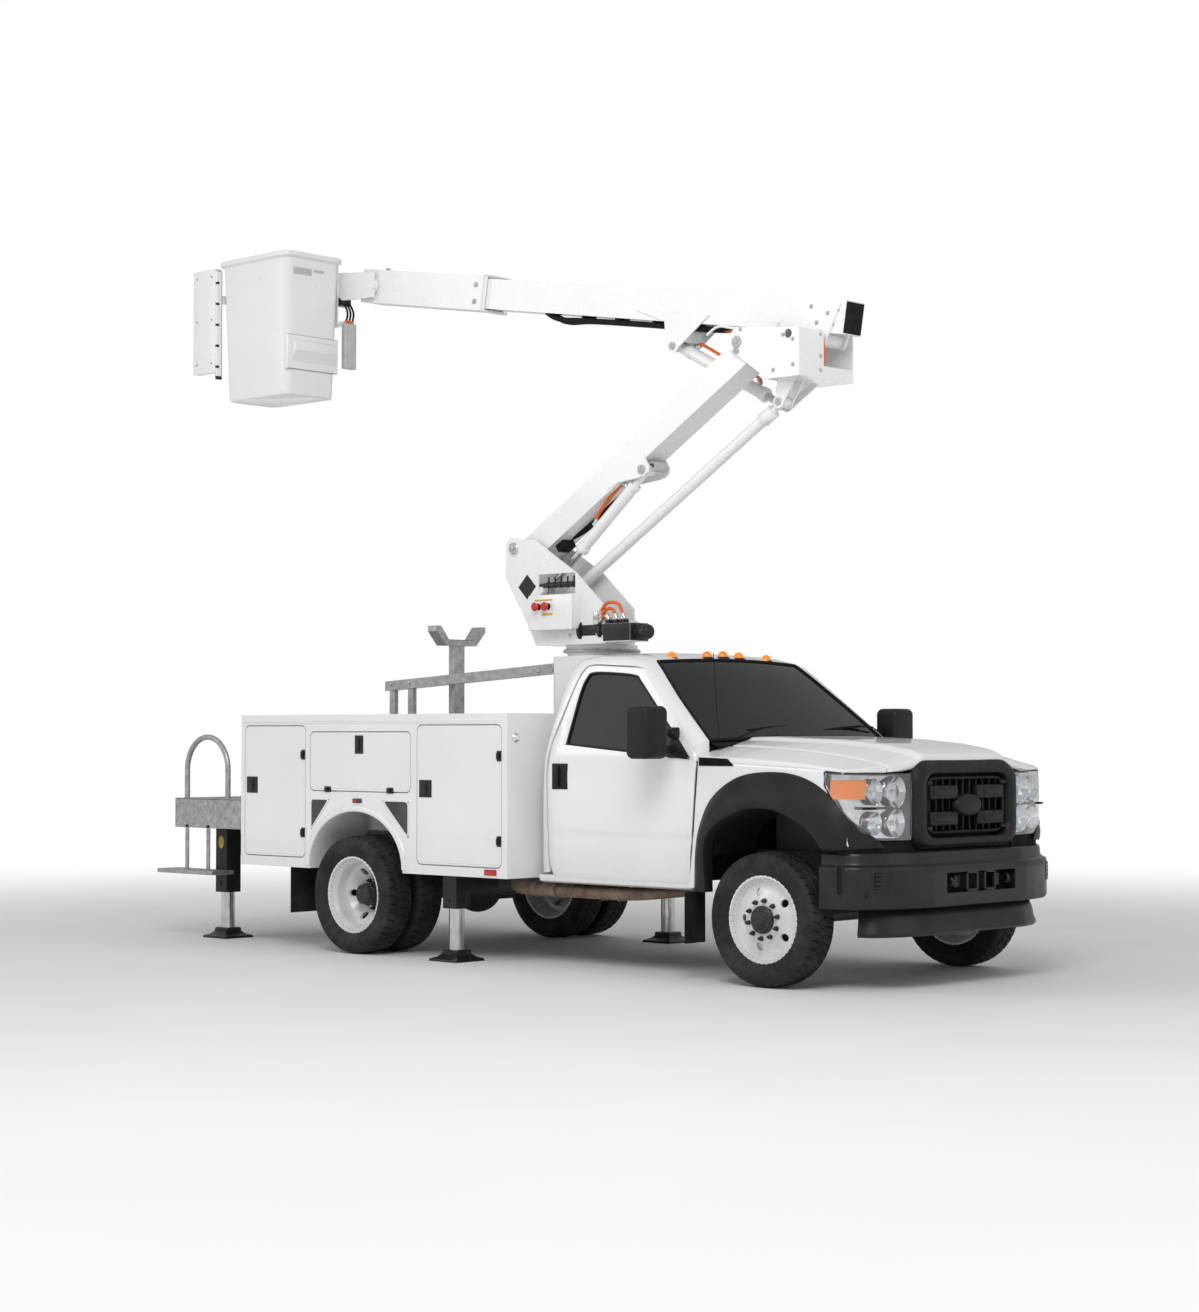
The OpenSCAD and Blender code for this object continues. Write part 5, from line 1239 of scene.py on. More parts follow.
galvanised, tree, shader, coords = new_material("galvanised", Metallic=0.85)
tree.links.new(ramp(tree, noise(tree, coords, 26, 5), 0.34, 0.52), shader.inputs["Base Color"])
tree.links.new(ramp(tree, noise(tree, coords, 40, 4), 0.34, 0.55), shader.inputs["Roughness"])
bump(tree, shader, noise(tree, coords, 120, 3), 0.2, 0.0006)
polished, tree, shader, coords = new_material("polished_rod", Metallic=1.0)
tree.links.new(ramp(tree, noise(tree, coords, 12, 4), 0.55, 0.72), shader.inputs["Base Color"])
tree.links.new(ramp(tree, noise(tree, coords, 60, 4, (1, 1, .2)), 0.12, 0.26),
               shader.inputs["Roughness"])
bump(tree, shader, noise(tree, coords, 260, 2, (1, 1, .05)), 0.12, 0.0003)
flap_rubber, tree, shader, coords = new_material("flap_rubber", Specular_IOR_Level=0.25)
flap_dust = product(tree, height_band(tree, coords, .25, .7), ramp(tree, noise(tree, coords, 7, 5),
        0, .7, .4, .8))
tree.links.new(blend_colour(tree, flap_dust, (.011, .011, .012), (.06, .058, .053)),
               shader.inputs["Base Color"])
tree.links.new(ramp(tree, noise(tree, coords, 20, 4), 0.5, 0.75), shader.inputs["Roughness"])
bump(tree, shader, noise(tree, coords, 160, 3), 0.4, 0.001)
dress(flap_rubber, "mud_flaps", edge=.002)
dress(satin_black, "outrigger_housings", edge=.004)


def lozenges(origin, along, up, out, n, m, pitch):
    """Raised diamond marks in rows that lean left and right by turns."""
    parts = []
    along, up, out = (np.asarray(k, float) for k in (along, up, out))
    for i in range(n):
        for j in range(m):
            lean = 1 if (i + j) % 2 else -1
            d1 = (along + lean * up) / math.sqrt(2)
            d2 = (along - lean * up) / math.sqrt(2)
            c = np.asarray(origin) + along * (i + .5) * pitch + up * (j + .5) * pitch
            corner = [d1 * pitch * .40, d2 * pitch * .13, -d1 * pitch * .40, -d2 * pitch * .13]
            base = [c + k for k in corner]
            top = [c + k * .6 + out * .0022 for k in corner]
            parts.append((np.array(base + top), [[3, 2, 1, 0], [4, 5, 6, 7], [0, 1, 5, 4],
                                                 [1, 2, 6, 5], [2, 3, 7, 6], [3, 0, 4, 7]]))
    return parts


lo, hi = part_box("tail_shelf")
rear_x, front_x, side_y, low_z, top_z = at(-5.592, 0, 0)[0], at(-4.697, 0, 0)[0], 1.1, .807, 1.022
shelf = [rounded_block([rear_x, -side_y, top_z - .010], [front_x, side_y, top_z], .003),
         rounded_block([rear_x, -side_y, low_z], [rear_x + .010, side_y, top_z - .001], .003)]
for s in (-1, 1):
    shelf.append(rounded_block([rear_x, min(s * side_y, s * (side_y - .010)), low_z],
                               [front_x, max(s * side_y, s * (side_y - .010)), top_z - .001], .003))
    shelf.append(rounded_block(at(-5.400, min(s * .41, s * .388), .63),
                               at(-4.700, max(s * .41, s * .388), 1.013), .003))
shelf += [rounded_block([lo[0], -1.150, .470], [lo[0] + .656, -.950, .500], .006)]
for x in (-5.450, -5.200):
    shelf.append(rounded_block(at(x - .020, -1.100, .499), at(x + .020, -1.092, .830), .002))
turn = np.linspace(0, math.pi, 30)
loop_c, loop_w = at(-5.285, -1.040, 1.230), .240
bow = np.column_stack([loop_c[0] - loop_w * np.cos(turn), np.full(30, loop_c[1]),
                       loop_c[2] + loop_w * np.sin(turn)])
path = np.vstack([[bow[0, 0], bow[0, 1], 1.020], [bow[0, 0], bow[0, 1], 1.12], bow,
                  [bow[-1, 0], bow[-1, 1], 1.12], [bow[-1, 0], bow[-1, 1], 1.020]])
shelf.append(tube(path, .020, 16))
pitch = .040
for s in (-1, 1):
    shelf += lozenges([rear_x + .006, s * side_y, .812], [1, 0, 0], [0, 0, 1], [0, s, 0], 22, 5,
                      pitch)
shelf += lozenges([rear_x, -1.08, .812], [0, 1, 0], [0, 0, 1], [-1, 0, 0], 54, 5, pitch)
shelf += lozenges([rear_x + .01, -1.09, top_z], [1, 0, 0], [0, 1, 0], [0, 0, 1], 22, 54, pitch)
treads = piece("tail_shelf_plates", shelf, galvanised, "truck", smooth=20)
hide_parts("tail_shelf")
collars = []
for side, out in (("right", -1), ("left", 1)):
    for name, x, y, top in (("rear", -5.26, .865, .600), ("middle", -2.62, 1.040, .900)):
        body = side + "_" + name + "_outrigger"
        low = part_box(side + "_" + name + "_leg")[0][2]
        c = at(x, out * y, low)
        rod = piece(side + "_" + name + "_rod",
                    [revolve([[0, top - .002], [.049, top - .002], [.051, top - .004],
                              [.051, .050], [0, .050]],
                                                        c, [0, 0, 1], 40)], polished, body,
                    smooth=30)
        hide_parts(side + "_" + name + "_leg")
        foot = []
        for z, h, r in ((.0, .1345, .010), (.016, .130, .012), (.028, .095, .014),
                        (.046, .074, .016), (.070, .072, .018), (.074, .066, .018)):
            foot.append(np.column_stack([*(round_rect(-h, h, -h, h, r, 5).T), np.full(20, z)]))
        p, f = grid(np.stack(foot, 1), wrap_u=True)
        f += [[k * 6 for k in range(20)], [k * 6 + 5 for k in range(20)][::-1]]
        piece(side + "_" + name + "_pad", [(p + c, f)], satin_black, body, smooth=30)
        collars.append(revolve([[.0525, .012], [.064, .012], [.066, .008], [.066, -.014],
                                [.0525, -.014]],
                               [c[0], c[1], .400 if name == "rear" else .400], [0, 0, 1], 32))
piece("leg_seals", collars, soft_black, "truck", smooth=40)
blank_yellow, tree, shader, coords = new_material("blank_yellow")
tree.links.new(ramp(tree, noise(tree, coords, 20, 4), (.55, .36, .01), (.68, .45, .02)),
               shader.inputs["Base Color"])
tree.links.new(ramp(tree, noise(tree, coords, 30, 4), 0.3, 0.45), shader.inputs["Roughness"])
bump(tree, shader, noise(tree, coords, 300, 2), 0.2, 0.0003)
plates = []
for out in (-1, 1):
    disc = revolve([[0, .002], [.030, .002], [.031, 0], [0, 0]], at(-5.26, out * (.865 + .0655),
            .700), [0, out, 0], 28)
    plates.append((disc[0] * [1, 1, 1.5] - [0, 0, .35], disc[1]))
piece("housing_plates", plates, blank_yellow, "truck")

# exhaust pipe under the right sill
rusty, tree, shader, coords = new_material("exhaust_steel", Metallic=0.7)
tree.links.new(ramp(tree, noise(tree, coords, 12, 6), (.16, .105, .07), (.34, .27, .21)),
               shader.inputs["Base Color"])
tree.links.new(ramp(tree, noise(tree, coords, 30, 5), 0.45, 0.7), shader.inputs["Roughness"])
bump(tree, shader, noise(tree, coords, 90, 4), 0.3, 0.0008)
pipe = curve_through([at(-.95, -.52, .52), at(-1.10, -.70, .50), at(-1.30, -.80, .485),
                      at(-1.8, -.80, .482), at(-2.20, -.80, .482), at(-2.36, -.74, .50),
                      at(-2.46, -.60, .52)], 60)
exhaust = [tube(pipe, .042, 20)]
for x in (-1.36, -1.50, -1.92, -2.10):
    exhaust.append(revolve([[.041, -.012], [.049, -.011], [.050, 0], [.049, .011], [.041, .012]],
                           at(x, -.80, .4825), [1, 0, 0], 24))
piece("exhaust_pipe", exhaust, rusty, "truck", smooth=50)

# ------------------------------------------------------------------ pedestal, turret and boom rest
# Square steel pedestal with a round slewing ring, a turret of two plates with a control box
# on the kerb side, black slewing motor and orange hoses; a galvanised cradle for the boom.

boom_paint = coated("boom_paint", (0.86, 0.865, 0.87), 0.26, 0.6, 0.0, 1.0)
dress(boom_paint, "pedestal", "turret", edge=.004)
dress(galvanised, "boom_rest", edge=.003)
hose_orange, tree, shader, coords = new_material("hose_orange", Specular_IOR_Level=0.4)
tree.links.new(ramp(tree, noise(tree, coords, 30, 3), (.62, .10, .008), (.78, .15, .012)),
               shader.inputs["Base Color"])
tree.links.new(ramp(tree, noise(tree, coords, 40, 3), 0.32, 0.5), shader.inputs["Roughness"])
bump(tree, shader, noise(tree, coords, 500, 2), 0.2, 0.0004)
knob_red, tree, shader, coords = new_material("knob_red", Coat_Weight=0.3)
tree.links.new(ramp(tree, noise(tree, coords, 30, 3), (.50, .012, .008), (.62, .02, .012)),
               shader.inputs["Base Color"])
tree.links.new(ramp(tree, noise(tree, coords, 40, 3), 0.25, 0.4), shader.inputs["Roughness"])
bump(tree, shader, noise(tree, coords, 300, 2), 0.15, 0.0003)
plate_grey, tree, shader, coords = new_material("plate_grey", Specular_IOR_Level=0.4)
tree.links.new(ramp(tree, noise(tree, coords, 15, 4), 0.42, 0.52), shader.inputs["Base Color"])
tree.links.new(ramp(tree, noise(tree, coords, 25, 4), 0.35, 0.5), shader.inputs["Roughness"])
bump(tree, shader, noise(tree, coords, 300, 3), 0.2, 0.0004)


def bolt(place, out, size=.010):
    """A washer, a hexagon head and a short chamfer, seen from the side out."""
    place, out = np.asarray(place, float), np.asarray(out, float)
    return [revolve([[0, .003], [size * 1.5, .0025], [size * 1.55, -.002], [0, -.002]], place, out,
                    20),
            revolve([[0, size * .9], [size * .8, size * .9], [size, size * .7], [size, 0], [0, 0]],
                    place, out, 6)]


def pin_cap(place, out, radius):
    """The end of a pin: a keeper disc with a bolt in its middle."""
    place, out = np.asarray(place, float), np.asarray(out, float)
    parts = [revolve([[0, .012], [radius * .92, .012], [radius, .008], [radius, -.004],
                      [0, -.004]], place, out, 36)]
    return parts + bolt(place + out * .012, out, radius * .28)


def hose(*places, r=.011):
    """A hose through a few places; its crimped collars at the ends come from fittings."""
    path = curve_through(places, 14 * len(places))
    return tube(path, r, 12)


def fittings(*places, r=.011):
    """The crimped collars at the two ends of a hose."""
    path = curve_through(places, 14 * len(places))
    parts = []
    for a, b in ((path[0], path[1]), (path[-1], path[-2])):
        way = (b - a) / np.linalg.norm(b - a)
        parts.append(tube([a - way * .004, a + way * .018, a + way * .036], r * 1.45, 12))
        parts.append(tube([a - way * .010, a + way * .006], r * 1.8, 6))
    return parts


steel_bits = pin_cap(at(-2.835, -.306, 2.770), [0, -1, 0], .042) + pin_cap(at(-2.835, -.010,
        2.770), [0, 1, 0], .042)
for x, z in ((-2.57, 2.398), (-2.23, 2.398), (-2.57, 2.225), (-2.40, 2.225), (-2.23, 2.225)):
    steel_bits += bolt(at(x, -.385, z), [0, -1, 0], .005)
for y in (-.301, -.015):
    for x, z in ((-2.30, 2.16), (-2.05, 2.16)):
        steel_bits += bolt(at(x, y, z), [0, -1 if y < -.1 else 1, 0], .008)
piece("turret_bolts", steel_bits, polished, "turret_body", smooth=30)
box_trim = [rounded_block(at(-2.606, -.392, 2.194), at(-2.194, -.383, 2.430), .004)]
piece("control_cover", box_trim, boom_paint, "turret_body", smooth=40)
diamond = np.array([[-2.792, 2.500], [-2.708, 2.584], [-2.624, 2.500], [-2.708, 2.416]])
blacks = [sheet_metal(diamond + [axle, 0], 1, -.3035, -.299)]
blacks.append(tube([at(-2.555, -.280, 2.505), at(-2.27, -.280, 2.505)], .018, 16))
for x in (-2.52, -2.46, -2.40, -2.34, -2.28):
    blacks.append(revolve([[.018, -.012], [.022, -.010], [.022, .010], [.018, .012]],
                          at(x, -.280, 2.505), [1, 0, 0], 20))
    blacks.append(tube([at(x, -.280, 2.520), at(x, -.280, 2.560)], .006, 8))
blacks.append(tube([at(-2.60, -.280, 2.505), at(-2.555, -.280, 2.505)], .012, 10))
# slewing motor: body, flanges, end cap
blacks.append(revolve([[0, -.002], [.072, 0], [.075, .006], [.075, .030], [.060, .034],
                       [.060, .180], [.070, .186], [.070, .21], [.060, .214],
                       [.060, .40], [0, .40]], at(-2.22, -.252, 2.186), [1, 0, 0], 40))
blacks.append(rounded_block(at(-1.9675, -.3315, 2.1065), at(-1.7185, -.1485, 2.2265), .006))
blacks.append(revolve([[0, .120], [.030, .118], [.044, .108], [.050, .090], [.050, .070],
                       [.042, .066], [.042, .030], [.052, .026], [.052, 0], [0, 0]],
                      at(-1.718, -.255, 2.165), [1, 0, 0], 32))
for x in (-1.93, -1.86, -1.79):
    blacks.append(rounded_block(at(x - .020, -.328, 2.225), at(x + .020, -.284, 2.252), .005))
for x, z in ((-2.505, 2.352), (-2.415, 2.352)):
    blacks.append(revolve([[0, .008], [.020, .008], [.022, .004], [.022, 0], [0, 0]],
                          at(x, -.392, z), [0, -1, 0], 24))
piece("turret_black_parts", blacks, satin_black, "turret_body", smooth=40)
knobs = []
for x in (-2.505, -2.415):
    knobs.append(revolve([[0, .044], [.024, .043], [.030, .036], [.028, .024], [.012, .018],
                          [.010, 0], [0, 0]], at(x, -.400, 2.352), [0, -1, 0], 28))
piece("control_knobs", knobs, knob_red, "turret_body", smooth=40)
strips = [rounded_block(at(-2.475, -.394, 2.292), at(-2.375, -.3905, 2.308), .001),
          rounded_block(at(-2.545, -.394, 2.392), at(-2.375, -.3905, 2.402), .001)]
piece("control_strips", strips, blank_yellow, "turret_body")
runs = [([-2.010, -.315, 2.290], [-1.94, -.318, 2.360], [-1.84, -.312, 2.350],
         [-1.79, -.306, 2.252]),
        ([-2.010, -.315, 2.265], [-1.95, -.316, 2.318], [-1.89, -.312, 2.316],
         [-1.86, -.306, 2.252]),
        ([-2.010, -.315, 2.240], [-1.975, -.316, 2.272], [-1.945, -.312, 2.274],
         [-1.93, -.306, 2.252])]
oranges, collar = [], []
for run in runs:
    places = [at(*q) for q in run]
    oranges.append(hose(*places))
    collar += fittings(*places)
piece("turret_hoses", oranges, hose_orange, "turret_body", smooth=60)
piece("turret_fittings", collar + [rounded_block(at(-2.055, -.334, 2.222),
                                                 at(-2.010, -.299, 2.308), .005)], polished,
      "turret_body", smooth=40)
ring = []
for x, z, r in ((-2.288, 2.055, .238),):
    ring.append(revolve([[.236, -.012], [.262, -.010], [.266, 0], [.262, .008], [.236, .008]],
                        at(x, 0, z), [0, 0, 1], 72))
for k in range(20):
    a = 2 * math.pi * k / 20
    ring += bolt(at(-2.288 + .252 * math.cos(a), .252 * math.sin(a), 2.063), [0, 0, 1], .006)
piece("slewing_ring", ring, plate_grey, "truck", smooth=40)
rest = []
for x in (-4.38, -4.18):
    rest.append(revolve([[.031, .004], [.052, .004], [.054, -.002], [.050, -.010], [.031, -.012]],
                        at(x, -.025, 1.63), [0, 0, 1], 28))
for x in (-2.70, -2.85, -4.38, -4.18):
    rest += bolt(at(x, -.060, 1.94 - (abs(x) - 2.55) * .0455), [0, -1, 0], .012)
piece("rest_fixings", rest, polished, "truck", smooth=30)
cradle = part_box("boom_rest")
piece("rest_pads", [rounded_block([at(-3.908, 0, 0)[0], .005, cradle[1][2] - .101],
                                  [at(-3.812, 0, 0)[0], .235, cradle[1][2] - .097], .0015)],
      flap_rubber, "truck", smooth=40)

# ------------------------------------------------------------------ booms and cylinders
# Welded box-section booms in white enamel, pins with keeper plates, painted cylinder
# barrels with polished rods, and hoses in a black sleeve under the upper boom.

dress(boom_paint, "lower_boom", "elbow", "upper_boom", "inner_boom", "bucket_mount", edge=.004)
dress(boom_paint, "lift_barrel", "fold_barrel", "levelling_link", edge=.002)
dress(polished, "lift_rod", "fold_rod", edge=.0015)
heel_w, wrist_w = np.array([-.24833, 0, 2.77]), np.array([1.74515, 0, 3.9916])
lower_dir = (wrist_w - heel_w) / np.linalg.norm(wrist_w - heel_w)
lower_up = np.array([-lower_dir[2], 0, lower_dir[0]])


def on_lower(u, y, w):
    """A point u along the lower boom, y across the truck and w above the boom's pin line."""
    return heel_w + lower_dir * u + lower_up * w + np.array([0, y, 0])


upper_w_pin = np.array([2.16615, 0, 3.9996])
rise = math.radians(9.4)
back, lift = np.array([-math.cos(rise), 0, math.sin(rise)]), np.array([math.sin(rise), 0,
        math.cos(rise)])


def on_upper(u, y, w):
    """A point u along the upper boom from its pin, y across and w above the pin line."""
    return upper_w_pin + back * u + lift * w + np.array([0, y, 0])


low_pins = pin_cap([wrist_w[0], -.275, wrist_w[2]], [0, -1, 0], .038)
lift_pin = np.array([.90753, 0, 3.23788])
low_pins += pin_cap([lift_pin[0], -.262, lift_pin[2]], [0, -1, 0],
                    .030) + pin_cap([lift_pin[0], -.036, lift_pin[2]], [0, 1, 0], .030)
low_pins += [revolve([[.020, -.06], [.036, -.06], [.036, .06], [.020, .06]],
                     [lift_pin[0] + .045, -.150, lift_pin[2] + .02], [0, 1, 0], 28)]
piece("lower_boom_pins", low_pins, plate_grey, "lower_boom_body", smooth=30)
caps = pin_cap([wrist_w[0] - .004, -.277, wrist_w[2] - .058], [0, -1, 0], .022)
for u, w in ((.03, .075), (.38, .005), (.46, -.03), (.46, -.19), (.30, -.21)):
    caps += bolt([wrist_w[0] + u, -.275, wrist_w[2] + w], [0, -1, 0], .009)
for z in (.02, -.12, -.21):
    caps += bolt([wrist_w[0] + .508, -.06, wrist_w[2] + z], [1, 0, 0], .009)
caps += pin_cap([2.16615, .275, 3.9996], [0, 1, 0], .036)
caps += pin_cap([1.98715, -.158, 3.5996], [0, -1, 0], .024) + pin_cap([1.79715, .172, 3.6196],
        [0, 1, 0], .026)
piece("elbow_bolts", caps, plate_grey, "elbow_body", smooth=30)
ups = []
for u, w in ((-.10, .10), (-.06, .165), (-.13, .19), (.02, .10), (.08, .20)):
    ups += bolt(on_upper(u, .120 - (.093 if u < -.08 else .105), w), [0, -1, 0], .010)
head = np.array([.93339, .015, 4.08408])
ups += pin_cap(head, [0, -1, 0], .026) + pin_cap([head[0], .225, head[2]], [0, 1, 0], .026)
piece("upper_boom_pins", ups, plate_grey, "upper_boom_body", smooth=30)
# end cap at the boom's heel, hose sleeve under it, collar at the sleeve's mouth


def on_boom(part, place):
    """A part drawn along x = boom, y = across, z = up, turned to lie along the upper boom."""
    return part[0] @ np.stack([back, [0, 1, 0], lift]) + place, part[1]


black_end = [on_boom(rounded_block([-.004, -.088, -.100], [.010, .088, .100], .006),
                     on_upper(-.192, .120, .148))]
for dy in (-.055, -.018, .018):
    path = [on_upper(.78, .12 + dy, .030), on_upper(.95, .12 + dy, .014),
            on_upper(1.6, .12 + dy, .014), on_upper(2.1, .12 + dy, .010),
            on_upper(2.32, .12 + dy, -.006 if dy > -.03 else .004), on_upper(2.42, .12 + dy, .015),
            on_upper(2.50, .12 + dy, .044)]
    black_end.append(tube(curve_through(path, 60), .018, 12))
for u in (1.10, 1.45, 1.80, 2.12):
    black_end.append(on_boom(rounded_block([-.014, -.080, -.024], [.014, .045, .006], .004),
                             on_upper(u, .12, .037)))
piece("upper_hose_sleeve", black_end, soft_black, "upper_boom_body", smooth=50)
ends = [hose(on_upper(.20, .12 + dy, .035), on_upper(.28, .12 + dy, -.02 - dip),
             on_upper(.50, .12 + dy, -.03 - dip), on_upper(.70, .12 + dy, .012),
             on_upper(.84, .12 + dy, .016), r=.014) for dy, dip in ((-.045, .02), (-.010, .0),
                     (.025, .012))]
piece("upper_hoses", ends, hose_orange, "upper_boom_body", smooth=60)
lug = [on_boom(rounded_block([-.022, -.010, -.045], [.022, .006, .040], .005),
               on_upper(.36, .022, .050)),
       tube(curve_through([on_upper(.38, .012, .030), on_upper(.70, .012, .028),
                           on_upper(.84, .012, .030), on_upper(.93, .010, -.030)], 30), .009, 10)]
lug += bolt(on_upper(.36, .012, .032), [0, -1, 0], .008)
piece("upper_pipe", lug, boom_paint, "upper_boom_body", smooth=50)
# hoses at the elbow, both ends on the elbow
elbow_runs = [hose([2.225, -.012, 3.985], [2.240, -.012, 3.93], [2.238, -.012, 3.84],
                   [2.218, -.012, 3.785], r=.012),
              hose([2.195, -.012, 3.965], [2.210, -.012, 3.92], [2.208, -.012, 3.85],
                   [2.192, -.012, 3.805], r=.010)]
piece("elbow_hoses", elbow_runs, hose_orange, "elbow_body", smooth=60)
# cylinder hoses ride on their own barrels
lift_way = np.array([-.01833 - .90753, 0, 2.475 - 3.23788])
lift_way /= np.linalg.norm(lift_way)
lift_side = np.array([-lift_way[2], 0, lift_way[0]])
lift_c = np.array([.90753, -.200, 3.23788])


def on_lift(u, y, w):
    """A point beside the lift cylinder, u from its head pin."""
    return lift_c + lift_way * u + lift_side * w + np.array([0, y, 0])


barrel_bits = [revolve([[.039, 0], [.045, .002], [.047, .012], [.047, .040], [.043, .046],
                        [.039, .046]], on_lift(.745, 0, 0), lift_way, 32),
               revolve([[.039, 0], [.044, .002], [.044, .030], [.039, .032]], on_lift(.142, 0, 0),
                       lift_way, 32)]
piece("lift_barrel_rings", barrel_bits, boom_paint, "lift_barrel_body", smooth=40)
run = [on_lift(.20, 0, -.047), on_lift(.23, 0, -.085), on_lift(.36, .0, -.092),
       on_lift(.52, .0, -.080), on_lift(.58, 0, -.047)]
piece("lift_hose", [hose(*run, r=.012)], hose_orange, "lift_barrel_body", smooth=60)
piece("lift_fittings", fittings(*run, r=.012), polished, "lift_barrel_body", smooth=40)
fold_c, fold_e = np.array([.93339, .120, 4.08408]), np.array([1.79715, .120, 3.6196])
fold_way = (fold_e - fold_c) / np.linalg.norm(fold_e - fold_c)
fold_side = np.array([-fold_way[2], 0, fold_way[0]])


def on_fold(u, y, w):
    """A point beside the fold cylinder, u from its head pin."""
    return fold_c + fold_way * u + fold_side * w + np.array([0, y, 0])


piece("fold_barrel_rings", [revolve([[.041, 0], [.048, .002], [.049, .012], [.049, .045],
                                     [.041, .050]], on_fold(.785, 0, 0), fold_way, 32),
                            revolve([[.041, 0], [.047, .002], [.047, .030], [.041, .032]],
                                    on_fold(.07, 0, 0), fold_way, 32)],
      boom_paint, "fold_barrel_body", smooth=40)
run = [on_fold(.12, 0, .052), on_fold(.16, 0, .082), on_fold(.40, 0, .080), on_fold(.70, 0, .078),
       on_fold(.74, 0, .052)]
piece("fold_hose", [hose(*run, r=.011)], hose_orange, "fold_barrel_body", smooth=60)
piece("fold_fittings", fittings(*run, r=.011), polished, "fold_barrel_body", smooth=40)
# black skid and a hose under the lower boom's heel, clevis ends of the link in boom paint
skid = rounded_block([0, -.055, -.055], [.085, .055, .045], .008)
piece("heel_skid", [(skid[0] @ np.stack([lower_dir, [0, 1, 0], lower_up]) + on_lower(.26, -.150,
        -.150), skid[1]),
                    tube(curve_through([on_lower(.30, -.12, -.125), on_lower(.50, -.11, -.165),
                                        on_lower(.80, -.11, -.150), on_lower(.96, -.11, -.125)],
                                       30), .020, 12)],
      soft_black, "lower_boom_body", smooth=40)
link_a, link_b = np.array([-.00633, -.103, 2.378]), np.array([1.98715, -.103, 3.5996])
link_way = (link_b - link_a) / np.linalg.norm(link_b - link_a)
piece("link_ends", [revolve([[.0, -.002], [.044, 0], [.047, .004], [.047, .10], [.044, .104],
                             [0, .104]], link_a + link_way * u, link_way, 28)
                    for u in (.10, 2.14)], boom_paint, "levelling_link_body", smooth=40)
collar_ring = []
for u in (3.09, 3.125):
    loop = round_rect(-.115, .115, -.129, .129, .012, 5)
    path = np.array([on_upper(u, .120 + q[0], .148 + q[1]) for q in loop])
    collar_ring.append(tube(np.vstack([path, path[:2]]), .006, 8, caps=False))
piece("sleeve_collar", collar_ring, boom_paint, "inner_boom_body", smooth=60)
tips = []
for u, w in ((3.20, .085), (3.20, .205), (4.32, .148)):
    tips += bolt(on_upper(u, .120 - .116, w), [0, -1, 0], .012 if u < 4 else .018)
tips += bolt(on_upper(4.28, .10, .283), lift, .014)
piece("sleeve_bolts", tips, plate_grey, "inner_boom_body", smooth=30)

# ------------------------------------------------------------------ bucket
# Moulded fibreglass bucket with a rolled rim and a step pocket, a black spine with a white
# cover behind it, blank placards, and a grey valve panel with red-collared hoses.

lo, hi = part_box("bucket")
mid = (np.array(lo) + np.array(hi)) / 2
half_x, half_y = (hi[0] - lo[0]) / 2, (hi[1] - lo[1]) / 2
rim_z = hi[2]
rows = []
for z, grow, r in ((lo[2] + .012, -.105, .030), (lo[2] + .002, -.085, .045), (lo[2], -.070, .055),
                   (lo[2] + .004, -.060, .062),
                   (lo[2] + .016, -.0545, .066), (lo[2] + .05, -.053, .066),
                   (rim_z - .060, -.026, .066), (rim_z - .050, -.024, .066),
                   (rim_z - .042, -.018, .068), (rim_z - .036, -.004, .074),
                   (rim_z - .030, 0, .078), (rim_z - .010, 0, .078), (rim_z - .003, -.003, .078),
                   (rim_z, -.010, .074), (rim_z, -.026, .070), (rim_z - .006, -.033, .066),
                   (rim_z - .03, -.035, .060), (lo[2] + .05, -.062, .055),
                   (lo[2] + .024, -.070, .050), (lo[2] + .014, -.095, .03)):
    loop = round_rect(-half_x - grow, half_x + grow, -half_y - grow, half_y + grow, r, 9)
    rows.append(np.column_stack([mid[0] + loop[:, 0], mid[1] + loop[:, 1], np.full(len(loop), z)]))
p, f = grid(np.stack(rows, 1), wrap_u=True)
m = len(rows)
f += [[k * m for k in range(36)], [k * m + m - 1 for k in range(36)][::-1]]
fibreglass = coated("fibreglass", (0.80, 0.81, 0.80), 0.32, 0.35, 0.0, 1.0, .03)
tub = piece("bucket_tub", [(p, f)], fibreglass, "bucket_body", smooth=50)
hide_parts("bucket")
front = hi[0] - .043
step_parts = [rounded_block([front - .02, mid[1] - .245, rim_z - .875],
                            [front + .010, mid[1] + .245, rim_z - .615], .008)]
pocket = np.array([[front, rim_z - .655], [front + .050, rim_z - .668],
                   [front + .056, rim_z - .676], [front + .056, rim_z - .735],
                   [front + .045, rim_z - .750], [front - .012, rim_z - .860],
                   [front - .02, rim_z - .655]])
step_parts.append(sheet_metal(pocket, 1, mid[1] - .205, mid[1] + .205))
piece("bucket_step", step_parts, fibreglass, "bucket_body", bevel=.006, smooth=40)
labels = [rounded_block([front + .0135, mid[1] - .195, rim_z - .165],
                        [front + .0155, mid[1] - .02, rim_z - .075], .0008),
          rounded_block([front + .0135, mid[1] + .00, rim_z - .135],
                        [front + .0155, mid[1] + .10, rim_z - .080], .0008)]
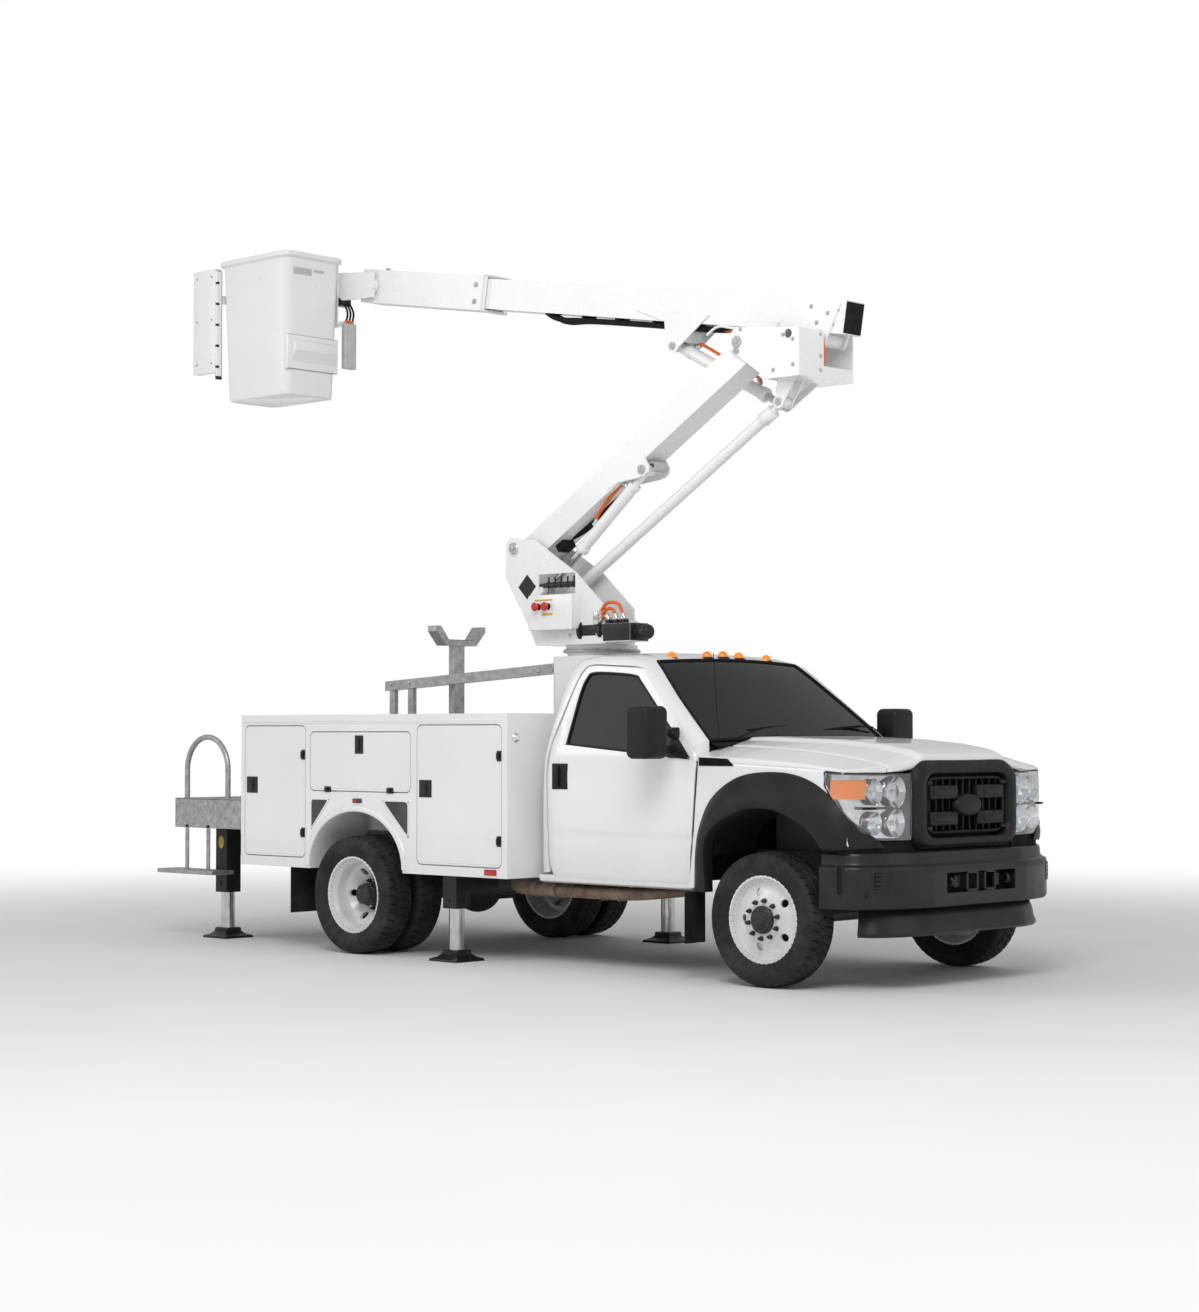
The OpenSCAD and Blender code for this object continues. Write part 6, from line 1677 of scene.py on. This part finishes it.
piece("bucket_placards", labels, plate_grey, "bucket_body")
spine_x = lo[0] - .016
spine = [rounded_block([spine_x - .012, lo[1] + .010, rim_z - .885],
                       [spine_x + .012, lo[1] + .060, rim_z - .055], .005)]
for z in (.14, .30, .46, .62, .78):
    spine.append(rounded_block([spine_x - .016, lo[1] + .006, rim_z - z - .02],
                               [spine_x + .016, lo[1] + .030, rim_z - z], .004))
piece("bucket_spine", spine, satin_black, "bucket_body", smooth=40)
cover_lo, cover_hi = [lo[0] - .287, lo[1] - .003, rim_z - .832], [lo[0] - .020, lo[1] + .064,
        rim_z - .038]
piece("side_cover", [rounded_block(cover_lo, cover_hi, .014, 5)], fibreglass, "bucket_body",
      smooth=40)
cover_bolts = []
for x in (.055, .235):
    for z in (.10, .43, .76):
        cover_bolts += bolt([lo[0] - x, lo[1] - .003, rim_z - z], [0, -1, 0], .006)
piece("cover_bolts", cover_bolts, polished, "bucket_body", smooth=30)
panel = [rounded_block([hi[0] - .063, hi[1] + .010, rim_z - .823],
                       [hi[0] - .016, hi[1] + .125, rim_z - .477], .010)]
piece("valve_panel", panel, plate_grey, "bucket_body", smooth=40)
tip_hoses = []
for k, y in enumerate((.035, .065, .095)):
    tip_hoses.append(hose([hi[0] - .040, hi[1] + y, rim_z - .48],
                          [hi[0] - .020, hi[1] + y, rim_z - .40], [hi[0] - .050, hi[1] + y - .01,
                                  rim_z - .33],
                          [hi[0] - .085, hi[1] + y - .02, rim_z - .30], r=.008))
piece("tip_hoses", tip_hoses, soft_black, "bucket_body", smooth=60)
piece("tip_collars", [revolve([[.008, -.012], [.013, -.010], [.013, .010], [.008, .012]],
                              [hi[0] - .036, hi[1] + y, rim_z - .465], [0, 0, 1], 16)
                      for y in (.035, .065, .095)], hose_orange, "bucket_body", smooth=40)
box = rounded_block([hi[0] - .14, hi[1] + .012, rim_z - .34],
                    [hi[0] - .05, hi[1] + .100, rim_z - .28], .008)
piece("tip_block", [box], satin_black, "bucket_body", smooth=40)
